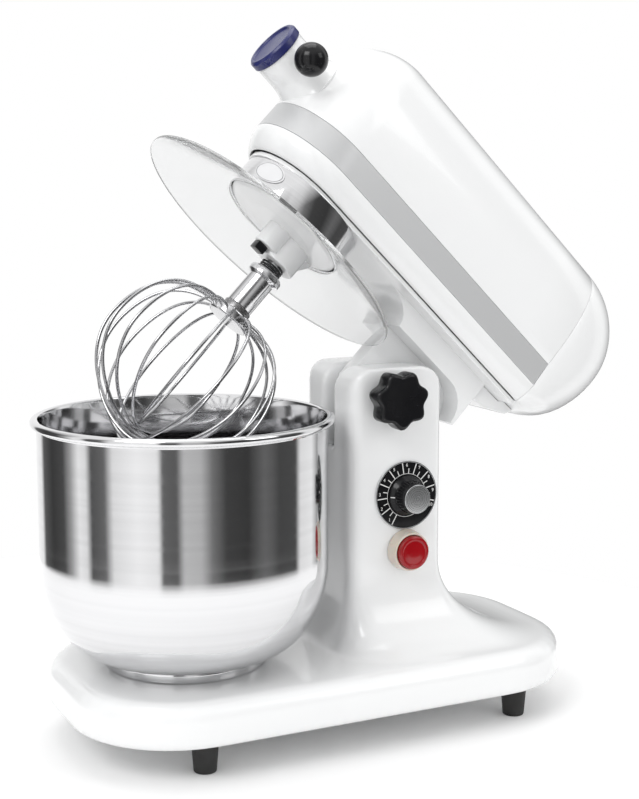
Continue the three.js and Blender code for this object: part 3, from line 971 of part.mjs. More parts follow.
// ---------------------------------------------------------------- origin
// The origin goes to the middle of the footprint, at the height of the feet.
const bounds = new THREE.Box3().setFromObject(mixer, true);
const middle = bounds.getCenter(new THREE.Vector3());
mixer.position.set(0, -middle.y, -bounds.min.z);

export default mixer;
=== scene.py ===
# A tilt-head stand mixer with its head tilted back: enamelled castings, polished steel bowl,
# wire whisk under a clear splash guard. Metres, front towards -Y, controls on +X.
import json
import math
import bpy
import bmesh
from mathutils import Matrix, Vector


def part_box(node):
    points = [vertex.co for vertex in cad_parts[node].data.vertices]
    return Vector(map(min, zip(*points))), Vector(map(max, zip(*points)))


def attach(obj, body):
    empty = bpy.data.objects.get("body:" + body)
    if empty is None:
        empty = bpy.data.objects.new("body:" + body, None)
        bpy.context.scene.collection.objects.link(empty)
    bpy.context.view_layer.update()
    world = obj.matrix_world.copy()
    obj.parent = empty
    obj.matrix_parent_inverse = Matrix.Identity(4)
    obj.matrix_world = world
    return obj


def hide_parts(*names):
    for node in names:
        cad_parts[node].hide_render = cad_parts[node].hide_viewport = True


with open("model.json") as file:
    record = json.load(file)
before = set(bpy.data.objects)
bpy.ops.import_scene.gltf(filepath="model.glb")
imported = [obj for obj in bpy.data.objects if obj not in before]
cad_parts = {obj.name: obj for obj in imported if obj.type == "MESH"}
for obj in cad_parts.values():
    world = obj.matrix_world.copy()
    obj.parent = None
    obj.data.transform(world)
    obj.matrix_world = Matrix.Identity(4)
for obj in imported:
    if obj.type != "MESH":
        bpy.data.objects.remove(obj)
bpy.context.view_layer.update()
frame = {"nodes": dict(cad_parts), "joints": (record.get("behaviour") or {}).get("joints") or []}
joints = {joint["name"]: joint for joint in frame["joints"]}
bowl_low, bowl_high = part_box("bowl_shell")
bowl_axis = (bowl_low.y + bowl_high.y) / 2

# ---------------------------------------------------------------- studio
# A product table: pale floor, one large soft box above on the left, a fill on the right, and
# a white room with dark flags, which only polished metal shows, as bands.
scene = bpy.context.scene
scene.view_settings.view_transform = "Standard"

LENS_MM, LOOKS_DOWN_DEG, LOOKS_ROUND_DEG = 67.6, 8.31, 63.52
camera_data = bpy.data.cameras.new("camera")
camera_data.sensor_width = 36.0
camera_data.lens = LENS_MM
camera = bpy.data.objects.new("camera", camera_data)
camera.location = (1.113, bowl_axis - 0.4325, 0.4535)
camera.rotation_euler = (math.radians(90 - LOOKS_DOWN_DEG), 0, math.radians(LOOKS_ROUND_DEG))
scene.collection.objects.link(camera)
scene.camera = camera

FLOOR_RADIUS = 0.64   # ends close behind the mixer, so that the bowl mirrors the flags
floor_mesh = bpy.data.meshes.new("floor")
floor_ring = [(FLOOR_RADIUS * math.cos(math.radians(a)),
               bowl_axis + FLOOR_RADIUS * math.sin(math.radians(a)), 0) for a in range(0, 360, 3)]
floor_mesh.from_pydata(floor_ring, [], [tuple(range(len(floor_ring)))])
floor = bpy.data.objects.new("floor", floor_mesh)
scene.collection.objects.link(floor)
floor_paint = bpy.data.materials.new("floor")
floor_paint.use_nodes = True
floor_shader = floor_paint.node_tree.nodes["Principled BSDF"]
floor_shader.inputs["Base Color"].default_value = (0.93, 0.93, 0.93, 1)
floor_shader.inputs["Roughness"].default_value = 0.9
floor_shader.inputs["Specular IOR Level"].default_value = 0.1
floor_mesh.materials.append(floor_paint)


def soft_box(name, place, target, size, power):
    data = bpy.data.lights.new(name, "AREA")
    data.shape = "RECTANGLE"
    data.size, data.size_y = size
    data.energy = power
    lamp = bpy.data.objects.new(name, data)
    lamp.location = place
    lamp.rotation_euler = (Vector(target) - Vector(place)).to_track_quat("-Z", "Y").to_euler()
    scene.collection.objects.link(lamp)


soft_box("key", (1.2, -2.2, 2.4), (0, 0, 0.3), (1.6, 1.2), 32)
soft_box("fill", (2.0, 1.6, 1.6), (0, 0, 0.3), (1.2, 1.2), 9)
soft_box("top", (-0.4, 0.1, 2.6), (0, 0, 0.2), (1.6, 1.6), 16)


def add_node(tree, kind, **settings):
    added = tree.nodes.new(kind)
    for name, value in settings.items():
        setattr(added, name, value)
    return added


def link_all(tree, *pairs):
    for source, target in pairs:
        tree.links.new(source, target)


world = bpy.data.worlds.new("studio")
scene.world = world
world.use_nodes = True
room = world.node_tree
room.nodes.clear()
direction = add_node(room, "ShaderNodeTexCoord")
parts = add_node(room, "ShaderNodeSeparateXYZ")
turn = add_node(room, "ShaderNodeMath", operation="ARCTAN2")
share = add_node(room, "ShaderNodeMapRange")
share.inputs["From Min"].default_value = -math.pi
share.inputs["From Max"].default_value = math.pi
flags = add_node(room, "ShaderNodeValToRGB")
# Brightness of the walls once round the room, from -X through -Y, +X and +Y.
FLAG_BANDS = [(0.0, 1.0), (0.035, 0.95), (0.055, 0.12), (0.10, 0.05), (0.145, 0.08), (0.17, 0.4),
              (0.195, 1.0), (0.215, 0.9), (0.23, 0.10), (0.265, 0.16), (0.285, 0.9), (0.34, 1.1),
              (0.385, 1.0), (0.395, 0.15), (0.425, 0.12), (0.44, 0.6), (0.475, 0.55), (0.50, 0.2),
              (0.53, 0.06), (0.58, 0.045), (0.62, 0.15), (0.64, 0.12), (0.66, 0.07), (0.71, 0.08),
              (0.725, 0.9), (0.77, 1.0), (0.80, 0.3), (0.83, 0.1), (0.90, 0.07), (0.925, 1.0),
              (1.0, 1.0)]
for i, (place, level) in enumerate(FLAG_BANDS):
    stop = flags.color_ramp.elements[i] if i < 2 else flags.color_ramp.elements.new(place)
    stop.position = place
    stop.color = (level, level, level, 1)
above = add_node(room, "ShaderNodeMapRange")   # the flags end where the white ceiling begins
above.inputs["From Min"].default_value = 0.35
above.inputs["From Max"].default_value = 0.75
mirrored = add_node(room, "ShaderNodeMix", data_type="RGBA")
mirrored.inputs["B"].default_value = (1, 1, 1, 1)
rays = add_node(room, "ShaderNodeLightPath")
walls = add_node(room, "ShaderNodeMix", data_type="RGBA")
walls.inputs["A"].default_value = (0.92, 0.92, 0.92, 1)
backdrop = add_node(room, "ShaderNodeMix", data_type="RGBA")
backdrop.inputs["B"].default_value = (1, 1, 1, 1)
glow = add_node(room, "ShaderNodeBackground")
ending = add_node(room, "ShaderNodeOutputWorld")
link_all(room,
         (direction.outputs["Generated"], parts.inputs[0]),
         (parts.outputs["Y"], turn.inputs[0]),
         (parts.outputs["X"], turn.inputs[1]),
         (turn.outputs[0], share.inputs["Value"]),
         (share.outputs["Result"], flags.inputs[0]),
         (parts.outputs["Z"], above.inputs["Value"]),
         (above.outputs["Result"], mirrored.inputs["Factor"]),
         (flags.outputs["Color"], mirrored.inputs["A"]),
         (rays.outputs["Is Glossy Ray"], walls.inputs["Factor"]),
         (mirrored.outputs["Result"], walls.inputs["B"]),
         (rays.outputs["Is Camera Ray"], backdrop.inputs["Factor"]),
         (walls.outputs["Result"], backdrop.inputs["A"]),
         (backdrop.outputs["Result"], glow.inputs["Color"]),
         (glow.outputs[0], ending.inputs["Surface"]))

# ---------------------------------------------------------------- finishes shared by pieces
# Every finish varies a little: cloudy colour, uneven gloss and a fine grain from casting,
# moulding or handling. Turned and spun metal has rings about its own axis besides.


def new_group(name, wanted, given):
    group = bpy.data.node_groups.new(name, "ShaderNodeTree")
    for label, kind in wanted:
        group.interface.new_socket(label, in_out="INPUT", socket_type=kind)
    for label, kind in given:
        group.interface.new_socket(label, in_out="OUTPUT", socket_type=kind)
    return group, add_node(group, "NodeGroupInput"), add_node(group, "NodeGroupOutput")


FLOAT, COLOUR, VECTOR = "NodeSocketFloat", "NodeSocketColor", "NodeSocketVector"
handled, asked, made = new_group(
    "handled surface",
    [("Cloud scale", FLOAT), ("Grain scale", FLOAT), ("Light colour", COLOUR),
     ("Dark colour", COLOUR), ("Gloss roughness", FLOAT), ("Dull roughness", FLOAT),
     ("Grain depth", FLOAT)],
    [("Colour", COLOUR), ("Roughness", FLOAT), ("Normal", VECTOR)])
place_on = add_node(handled, "ShaderNodeTexCoord")
clouds = add_node(handled, "ShaderNodeTexNoise")
clouds.inputs["Detail"].default_value = 3
grain = add_node(handled, "ShaderNodeTexNoise")
grain.inputs["Detail"].default_value = 4
tint = add_node(handled, "ShaderNodeMix", data_type="RGBA")
dullness = add_node(handled, "ShaderNodeMapRange")
dullness.inputs["From Min"].default_value = 0.3
dullness.inputs["From Max"].default_value = 0.7
relief = add_node(handled, "ShaderNodeBump")
link_all(handled,
         (place_on.outputs["Object"], clouds.inputs["Vector"]),
         (place_on.outputs["Object"], grain.inputs["Vector"]),
         (asked.outputs["Cloud scale"], clouds.inputs["Scale"]),
         (asked.outputs["Grain scale"], grain.inputs["Scale"]),
         (clouds.outputs["Fac"], tint.inputs["Factor"]),
         (asked.outputs["Light colour"], tint.inputs["A"]),
         (asked.outputs["Dark colour"], tint.inputs["B"]),
         (tint.outputs["Result"], made.inputs["Colour"]),
         (clouds.outputs["Fac"], dullness.inputs["Value"]),
         (asked.outputs["Gloss roughness"], dullness.inputs["To Min"]),
         (asked.outputs["Dull roughness"], dullness.inputs["To Max"]),
         (dullness.outputs["Result"], made.inputs["Roughness"]),
         (grain.outputs["Fac"], relief.inputs["Height"]),
         (asked.outputs["Grain depth"], relief.inputs["Distance"]),
         (relief.outputs["Normal"], made.inputs["Normal"]))


def grouped_material(name, group, metallic, values):
    """A material whose roughness and relief come from a shared group, at its own values."""
    material = bpy.data.materials.new(name)
    material.use_nodes = True
    tree = material.node_tree
    shader = tree.nodes["Principled BSDF"]
    surface = add_node(tree, "ShaderNodeGroup", node_tree=group)
    for label, value in values.items():
        surface.inputs[label].default_value = value
    link_all(tree, (surface.outputs["Roughness"], shader.inputs["Roughness"]),
             (surface.outputs["Normal"], shader.inputs["Normal"]))
    tune(material, Metallic=metallic)
    return material, surface


def tune(material, **values):
    """Sets plain values of a material's shader."""
    shader = material.node_tree.nodes["Principled BSDF"]
    for label, value in values.items():
        shader.inputs[label.replace("_", " ")].default_value = value


def finish(name, light, dark, gloss, dull, grain_depth=0.00002, cloud_scale=9, grain_scale=900,
           metallic=0.0, coat=0.0):
    material, surface = grouped_material(name, handled, metallic, {
        "Cloud scale": cloud_scale, "Grain scale": grain_scale, "Light colour": (*light, 1),
        "Dark colour": (*dark, 1), "Gloss roughness": gloss, "Dull roughness": dull,
        "Grain depth": grain_depth})
    tree = material.node_tree
    tree.links.new(surface.outputs["Colour"], tree.nodes["Principled BSDF"].inputs["Base Color"])
    tune(material, Coat_Weight=coat, Coat_Roughness=0.04)
    return material


ringed, asked, made = new_group(
    "turned rings",
    [("Centre", VECTOR), ("Axis", VECTOR), ("Ring scale", FLOAT), ("Ring depth", FLOAT),
     ("Fine roughness", FLOAT), ("Coarse roughness", FLOAT)],
    [("Roughness", FLOAT), ("Normal", VECTOR), ("Shade", FLOAT)])
where = add_node(ringed, "ShaderNodeTexCoord")
from_centre = add_node(ringed, "ShaderNodeVectorMath", operation="SUBTRACT")
height_up = add_node(ringed, "ShaderNodeVectorMath", operation="DOT_PRODUCT")
on_axis = add_node(ringed, "ShaderNodeVectorMath", operation="SCALE")
off_axis = add_node(ringed, "ShaderNodeVectorMath", operation="SUBTRACT")
radius = add_node(ringed, "ShaderNodeVectorMath", operation="LENGTH")
reach = add_node(ringed, "ShaderNodeMath", operation="ADD")
rings = add_node(ringed, "ShaderNodeTexNoise", noise_dimensions="1D")
rings.inputs["Detail"].default_value = 5
ring_dullness = add_node(ringed, "ShaderNodeMapRange")
ring_dullness.inputs["From Min"].default_value = 0.3
ring_dullness.inputs["From Max"].default_value = 0.7
ring_relief = add_node(ringed, "ShaderNodeBump")
link_all(ringed,
         (where.outputs["Object"], from_centre.inputs[0]),
         (asked.outputs["Centre"], from_centre.inputs[1]),
         (from_centre.outputs[0], height_up.inputs[0]),
         (asked.outputs["Axis"], height_up.inputs[1]),
         (asked.outputs["Axis"], on_axis.inputs[0]),
         (height_up.outputs["Value"], on_axis.inputs["Scale"]),
         (from_centre.outputs[0], off_axis.inputs[0]),
         (on_axis.outputs[0], off_axis.inputs[1]),
         (off_axis.outputs[0], radius.inputs[0]),
         (radius.outputs["Value"], reach.inputs[0]),
         (height_up.outputs["Value"], reach.inputs[1]),
         (reach.outputs[0], rings.inputs["W"]),
         (asked.outputs["Ring scale"], rings.inputs["Scale"]),
         (rings.outputs["Fac"], ring_dullness.inputs["Value"]),
         (asked.outputs["Fine roughness"], ring_dullness.inputs["To Min"]),
         (asked.outputs["Coarse roughness"], ring_dullness.inputs["To Max"]),
         (ring_dullness.outputs["Result"], made.inputs["Roughness"]),
         (rings.outputs["Fac"], made.inputs["Shade"]),
         (rings.outputs["Fac"], ring_relief.inputs["Height"]),
         (asked.outputs["Ring depth"], ring_relief.inputs["Distance"]),
         (ring_relief.outputs["Normal"], made.inputs["Normal"]))


def turned_metal(name, colour, centre, axis, fine, coarse, ring_scale=400, ring_depth=0.00001):
    material, surface = grouped_material(name, ringed, 1.0, {
        "Centre": centre, "Axis": axis, "Ring scale": ring_scale, "Ring depth": ring_depth,
        "Fine roughness": fine, "Coarse roughness": coarse})
    tree = material.node_tree
    shade = add_node(tree, "ShaderNodeMix", data_type="RGBA")
    shade.inputs["A"].default_value = (*colour, 1)
    shade.inputs["B"].default_value = (*(0.88 * part for part in colour), 1)
    link_all(tree, (surface.outputs["Shade"], shade.inputs["Factor"]),
             (shade.outputs["Result"], tree.nodes["Principled BSDF"].inputs["Base Color"]))
    return material


enamel = finish("white enamel", (0.83, 0.835, 0.835), (0.80, 0.805, 0.81), 0.16, 0.24,
                grain_depth=0.00003, cloud_scale=12, grain_scale=420, coat=0.35)
black_plastic = finish("black plastic", (0.006, 0.006, 0.007), (0.011, 0.011, 0.012), 0.1, 0.22,
                       grain_depth=0.00002, cloud_scale=40)
tune(black_plastic, Specular_IOR_Level=0.3)
oiled_steel = finish("oiled steel", (0.33, 0.33, 0.34), (0.16, 0.155, 0.15), 0.22, 0.5,
                     grain_depth=0.00003, cloud_scale=60, metallic=1.0)
ground_steel = finish("ground steel", (0.66, 0.67, 0.68), (0.55, 0.56, 0.57), 0.14, 0.3,
                      grain_depth=0.00001, cloud_scale=50, metallic=1.0)


# ---------------------------------------------------------------- stand
# One casting: a long base with round ends and a column that flares out of it and forks into
# two cheeks for the head. Sprayed white and baked; its edges are rounded as cast.
def bare_object(name, mesh):
    made_object = bpy.data.objects.new(name, mesh)
    scene.collection.objects.link(made_object)
    return made_object


def plain_mesh(source, name):
    """The source object's final shape as a new plain object; the source is removed."""
    graph = bpy.context.evaluated_depsgraph_get()
    mesh = bpy.data.meshes.new_from_object(source.evaluated_get(graph), depsgraph=graph)
    result = bare_object(name, mesh)
    bpy.data.objects.remove(source)
    return result


def skin(name, rings_of_points, close_ring=True, cap=True, place=Matrix()):
    """A surface through rings that have the same number of points."""
    bm = bmesh.new()
    rows = [[bm.verts.new(place @ Vector(point)) for point in ring] for ring in rings_of_points]
    count = len(rows[0])
    for lower, upper in zip(rows, rows[1:]):
        for i in range(count if close_ring else count - 1):
            j = (i + 1) % count
            bm.faces.new((lower[i], lower[j], upper[j], upper[i]))
    if cap:
        bm.faces.new(rows[0])
        bm.faces.new(rows[-1])
    bmesh.ops.remove_doubles(bm, verts=bm.verts, dist=1e-6)
    bmesh.ops.dissolve_degenerate(bm, edges=bm.edges, dist=1e-7)
    bmesh.ops.recalc_face_normals(bm, faces=bm.faces)
    mesh = bpy.data.meshes.new(name)
    bm.to_mesh(mesh)
    bm.free()
    return bare_object(name, mesh)


def fit(piece, material, body, slot, *nodes, smooth_deg=35):
    """Gives a finished piece its material and smooth shading, hangs it on its body and hides the
    plain parts it replaces.
    """
    piece.data.materials.clear()
    piece.data.materials.append(material)
    piece.data.shade_smooth()
    piece.data.set_sharp_from_angle(angle=math.radians(smooth_deg))
    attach(piece, body)
    if nodes:
        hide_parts(*nodes)
    return piece


BASE_HALF_WIDTH, BASE_FRONT, BASE_REAR, BASE_CORNER = 114, -106, 332, 88
BASE_UNDERSIDE, BASE_TOP = 30, 65
COLUMN_HALF_WIDTH, COLUMN_FRONT, COLUMN_REAR, COLUMN_TOP = 44.5, 130, 217, 301
COLUMN_CORNER, FLARE_RISE, FRONT_FLARE = 11, 72, 22
EDGE_RISE, EDGE_REACH = 14, 13
FLARE_FROM_SIDE, FLARE_FROM_REAR = 16, 14   # where the flare runs out, in from the base's edge
SLOT_HALF_WIDTH, SLOT_LIP, SLOT_FLOOR, LIP_DEPTH = 9, 232, 219, 9
CHEEK_FRONT_CORNER, CHEEK_REAR_CORNER = 20, 24
CUT_PAST, CORNER_CUT_PAST, CORNER_CUT_HALF_WIDTH = 10, 2, 60
stand_place = Matrix.Translation((0, bowl_axis, 0)) @ Matrix.Scale(0.001, 4)   # millimetres


def rounded_ring(half_width, front, rear, corner, height, steps=10):
    ring = []
    for x_side, y_side, start in ((1, -1, -90), (1, 1, 0), (-1, 1, 90), (-1, -1, 180)):
        centre_x = x_side * (half_width - corner)
        centre_y = rear - corner if y_side > 0 else front + corner
        for step in range(steps + 1):
            angle = math.radians(start + 90 * step / steps)
            ring.append((centre_x + corner * math.cos(angle),
                         centre_y + corner * math.sin(angle), height))
    return ring


def base_ring(height, inset):
    return rounded_ring(BASE_HALF_WIDTH - inset, BASE_FRONT + inset, BASE_REAR - inset,
                        BASE_CORNER - inset, height)


def flare(height, reach, rise):
    share_left = 1 - min(max(height, 0), rise) / rise
    return reach * (1 - math.sqrt(1 - share_left ** 2))


def column_ring(height):
    rise = height - BASE_TOP
    side_reach = BASE_HALF_WIDTH - FLARE_FROM_SIDE - COLUMN_HALF_WIDTH
    rear_reach = BASE_REAR - FLARE_FROM_REAR - COLUMN_REAR
    return rounded_ring(COLUMN_HALF_WIDTH + flare(rise, side_reach, 0.8 * FLARE_RISE),
                        COLUMN_FRONT - flare(rise, FRONT_FLARE, 0.8 * FLARE_RISE),
                        COLUMN_REAR + flare(rise, rear_reach, FLARE_RISE),
                        COLUMN_CORNER + flare(rise, 0.9 * side_reach, FLARE_RISE), height)


stand_rings = [base_ring(BASE_UNDERSIDE, 3), base_ring(BASE_UNDERSIDE + 3, 0)]
for step in range(9):
    turn_up = math.radians(90 * step / 8)
    stand_rings.append(base_ring(BASE_TOP - EDGE_RISE * (1 - math.sin(turn_up)),
                                 EDGE_REACH * (1 - math.cos(turn_up))))
for step in range(1, 17):
    rise = FLARE_RISE * (1 - math.cos(math.radians(90 * step / 16)))
    stand_rings.append(column_ring(BASE_TOP + rise))
stand_rings.append(column_ring(COLUMN_TOP))
stand = skin("stand_casting_skin", stand_rings, place=stand_place)


def side_cutter(name, outline, half_width):
    sides = [[(x, y, z) for y, z in outline] for x in (-half_width, half_width)]
    return skin(name, sides, place=stand_place)


def corner_cutter(name, edge_y, corner, direction):
    centre_y, centre_z = edge_y - direction * corner, COLUMN_TOP - corner
    arc = [(centre_y + direction * corner * math.cos(math.radians(a)),
            centre_z + corner * math.sin(math.radians(a))) for a in range(0, 91, 6)]
    past_y, past_z = edge_y + direction * CORNER_CUT_PAST, COLUMN_TOP + CORNER_CUT_PAST
    return side_cutter(name, [*arc, (centre_y, past_z), (past_y, past_z), (past_y, centre_z)],
                       CORNER_CUT_HALF_WIDTH)


slot_front, slot_rear = COLUMN_FRONT - CUT_PAST, COLUMN_REAR + CUT_PAST
slot_top = COLUMN_TOP + CUT_PAST
slot_outline = [(slot_front, SLOT_LIP), (COLUMN_FRONT + LIP_DEPTH, SLOT_LIP),
                (COLUMN_FRONT + LIP_DEPTH, SLOT_FLOOR), (slot_rear, SLOT_FLOOR),
                (slot_rear, slot_top), (slot_front, slot_top)]
cutters = [side_cutter("slot_cutter", slot_outline, SLOT_HALF_WIDTH),
           corner_cutter("front_corner_cutter", COLUMN_FRONT, CHEEK_FRONT_CORNER, -1),
           corner_cutter("rear_corner_cutter", COLUMN_REAR, CHEEK_REAR_CORNER, 1)]
for cutter in cutters:
    cutting = stand.modifiers.new(cutter.name, "BOOLEAN")
    cutting.object = cutter
    cutting.solver = "EXACT"
casting_skin = stand.modifiers.new("casting skin", "REMESH")
casting_skin.mode = "VOXEL"
casting_skin.voxel_size = 0.0021
softened = stand.modifiers.new("cast edges", "SMOOTH")
softened.factor = 0.5
softened.iterations = 8
stand = plain_mesh(stand, "stand_casting_finish")
for cutter in cutters:
    bpy.data.objects.remove(cutter)
fit(stand, enamel, "stand", "white_enamel", "stand_casting", smooth_deg=60)


def dress(material, *names):
    """Inner pieces show their own shape, with a worked surface."""
    for name in names:
        node = frame["nodes"][name]
        node.data.materials.clear()
        node.data.materials.append(material)
        node.data.shade_smooth()
        node.data.set_sharp_from_angle(angle=math.radians(30))


def refined(name, edge, steps=2):
    """A copy of a plain piece with its facets joined and its edges broken."""
    bm = bmesh.new()
    bm.from_mesh(frame["nodes"][name].data)
    bmesh.ops.remove_doubles(bm, verts=bm.verts, dist=1e-6)
    bmesh.ops.dissolve_limit(bm, angle_limit=math.radians(1), verts=bm.verts, edges=bm.edges)
    mesh = bpy.data.meshes.new(name + "_finish")
    bm.to_mesh(mesh)
    bm.free()
    piece = bare_object(name + "_bare", mesh)
    broken = piece.modifiers.new("broken edges", "BEVEL")
    broken.width = edge
    broken.segments = steps
    broken.limit_method = "ANGLE"
    broken.angle_limit = math.radians(35)
    return plain_mesh(piece, name + "_finish")


def along(place, axis):
    """A frame whose Z runs along the given drawing axis, at a place in that drawing."""
    turns = {"x": Matrix.Rotation(math.radians(90), 4, "Y"),
             "y": Matrix.Rotation(math.radians(-90), 4, "X"), "z": Matrix()}
    return place @ turns[axis]


def eased(corners, radius, steps=4):
    """The same outline with each inner corner rounded."""
    points = [Vector(corner) for corner in corners]
    smooth = [points[0]]
    for before, corner, after in zip(points, points[1:], points[2:]):
        back = min(radius, 0.45 * (before - corner).length)
        on = min(radius, 0.45 * (after - corner).length)
        start = corner + back * (before - corner).normalized()
        end = corner + on * (after - corner).normalized()
        for step in range(steps + 1):
            t = step / steps
            smooth.append((1 - t) ** 2 * start + 2 * t * (1 - t) * corner + t ** 2 * end)
    smooth.append(points[-1])
    return smooth


def lathe(name, profile, place, count=96):
    """Turned from (radius, height) pairs, from axis to axis or round a closed loop."""
    rings = [[(radius * math.cos(2 * math.pi * i / count),
               radius * math.sin(2 * math.pi * i / count), height) for i in range(count)]
             for radius, height in profile]
    return skin(name, rings, cap=False, place=place)


# ---------------------------------------------------------------- under the stand
# A pressed cover closes the base. Four tapered rubber feet are each held by one screw.
dull_grey = finish("satin grey", (0.50, 0.51, 0.52), (0.45, 0.46, 0.47), 0.3, 0.45)
fit(refined("bottom_cover", 0.0004), dull_grey, "stand", "grey_plate", "bottom_cover")
rubber = finish("moulded rubber", (0.014, 0.014, 0.014), (0.024, 0.023, 0.022), 0.5, 0.75,
                grain_depth=0.00008, cloud_scale=60)
FOOT_TOP, SOLE_RADIUS, TOP_RADIUS, SCREW_SEAT, SCREW_ROOM, HEAD_ROOM = 30.3, 9, 11.5, 11, 2.8, 5.4
foot_profile = eased([
    (SCREW_ROOM, SCREW_SEAT), (HEAD_ROOM, SCREW_SEAT), (HEAD_ROOM, 0), (SOLE_RADIUS, 0),
    (TOP_RADIUS, FOOT_TOP), (SCREW_ROOM, FOOT_TOP), (SCREW_ROOM, SCREW_SEAT)], 1.2)
for node in [name for name in frame["nodes"] if name.startswith("foot_") and "screw" not in name]:
    low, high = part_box(node)
    foot_place = Matrix.Translation(((low.x + high.x) / 2, (low.y + high.y) / 2, 0))
    foot = lathe(node + "_rubber", foot_profile, foot_place @ Matrix.Scale(0.001, 4), 48)
    fit(foot, rubber, "stand", "rubber_feet", node)
dress(ground_steel, *[name for name in frame["nodes"] if "screw_" in name], "hinge_pin")

# ---------------------------------------------------------------- bowl seat and cable gland
# The bowl's tabs turn under the lugs of a pressed steel plate on the base. The mains cable
# would leave at the black gland on the back of the column.
fit(refined("bowl_seat", 0.0004), ground_steel, "stand", "polished_steel", "bowl_seat")
fit(refined("cable_gland", 0.0006), black_plastic, "stand", "black_plastic", "cable_gland")

# ---------------------------------------------------------------- bowl
# Deep drawn stainless steel, polished inside and out, with a rolled rim and a foot ring that
# is welded on and carries three tabs.
BOWL_FLOOR, BOWL_TOP, BELLY_TOP, BELLY_RADIUS, BOWL_WALL = 74, 268, 150, 116.6, 1.6
SHOULDER_RADIUS, LIP_RADIUS, BEAD_RADIUS, BEAD_CENTRE = 64, 115, 3.4, 118.2
FLOOR_MIDDLE, WALL_MIDDLE = 40, 215


def belly(inset, steps=28):
    side = []
    for step in range(steps + 1):
        angle = math.radians(90 * step / steps)
        reach = BELLY_RADIUS - inset - SHOULDER_RADIUS
        side.append((SHOULDER_RADIUS + reach * math.sin(angle),
                     BELLY_TOP - (BELLY_TOP - BOWL_FLOOR - inset) * math.cos(angle)))
    return side


bead = [(BEAD_CENTRE + BEAD_RADIUS * math.cos(math.radians(angle)),
         BOWL_TOP - BEAD_RADIUS + BEAD_RADIUS * math.sin(math.radians(angle)))
        for angle in range(-100, 111, 15)]
bowl = lathe("bowl_drawn_steel", [
    (0, BOWL_FLOOR), (FLOOR_MIDDLE, BOWL_FLOOR), *belly(0), (BELLY_RADIUS, WALL_MIDDLE),
    (BELLY_RADIUS, BOWL_TOP - 2.4 * BEAD_RADIUS), *bead, (LIP_RADIUS + 0.6, BOWL_TOP - 0.8),
    (LIP_RADIUS, BOWL_TOP - 3), (LIP_RADIUS, WALL_MIDDLE), *reversed(belly(BOWL_WALL)),
    (FLOOR_MIDDLE, BOWL_FLOOR + BOWL_WALL), (0, BOWL_FLOOR + BOWL_WALL)], stand_place, 160)
polished = turned_metal("polished bowl steel", (0.80, 0.80, 0.81), (0, bowl_axis, 0), (0, 0, 1),
                        0.05, 0.10, ring_scale=120, ring_depth=0.0000012)
fit(bowl, polished, "bowl", "polished_steel", "bowl_shell")
fit(refined("bowl_foot", 0.0005), polished, "bowl", "polished_steel", "bowl_foot")

# ---------------------------------------------------------------- speed dial
# A black plate with a bright rim, white ticks and the numbers 1 to 10; its knob has a skirt
# with a pointer line and a spun aluminium cap.
DIAL_Y, DIAL_Z, DIAL_RADIUS, PLATE_BACK, PLATE_FACE = 180, 193.5, 29, 44.8, 46.2
PLATE_BORE, PLATE_RADIUS, RIM_BORE, RIM_FACE = 4.5, 27.9, 28, 46.45
dial_place = along(stand_place @ Matrix.Translation((0, DIAL_Y, DIAL_Z)), "x")
dial_centre = dial_place.translation
plate = lathe("dial_plate_finish", eased([
    (PLATE_BORE, PLATE_BACK), (PLATE_RADIUS, PLATE_BACK), (PLATE_RADIUS, PLATE_FACE),
    (PLATE_BORE, PLATE_FACE), (PLATE_BORE, PLATE_BACK)], 0.3), dial_place)
fit(plate, black_plastic, "stand", "black_plastic", "dial_plate")
spun = turned_metal("spun aluminium", (0.78, 0.79, 0.80), dial_centre, (1, 0, 0), 0.22, 0.36,
                    ring_scale=1500, ring_depth=0.000005)
rim = lathe("dial_plate_rim", eased([
    (RIM_BORE, PLATE_BACK), (DIAL_RADIUS, PLATE_BACK), (DIAL_RADIUS, RIM_FACE),
    (RIM_BORE, RIM_FACE), (RIM_BORE, PLATE_BACK)], 0.2), dial_place)
fit(rim, spun, "stand", "spun_aluminium")
print_white = finish("white print", (0.80, 0.80, 0.79), (0.72, 0.72, 0.71), 0.4, 0.6)


def geometry_group(name, *wanted):
    """A new node group, its input and output nodes, and its values by socket."""
    group = bpy.data.node_groups.new(name, "GeometryNodeTree")
    face = group.interface
    face.new_socket("Geometry", in_out="INPUT", socket_type="NodeSocketGeometry")
    values = {}
    for label, kind, value in wanted:
        socket = face.new_socket(label, in_out="INPUT", socket_type="NodeSocket" + kind)
        values[socket.identifier] = value
    face.new_socket("Geometry", in_out="OUTPUT", socket_type="NodeSocketGeometry")
    return group, add_node(group, "NodeGroupInput"), add_node(group, "NodeGroupOutput"), values


def laid_out(name, group, values, data):
    """What the node group makes of some data, as a plain object."""
    source = bare_object(name + "_layout", data)
    layout = source.modifiers.new(name, "NODES")
    layout.node_group = group
    for identifier, value in values.items():
        layout[identifier] = value
    return plain_mesh(source, name)


PRINT_LIFT = 0.05


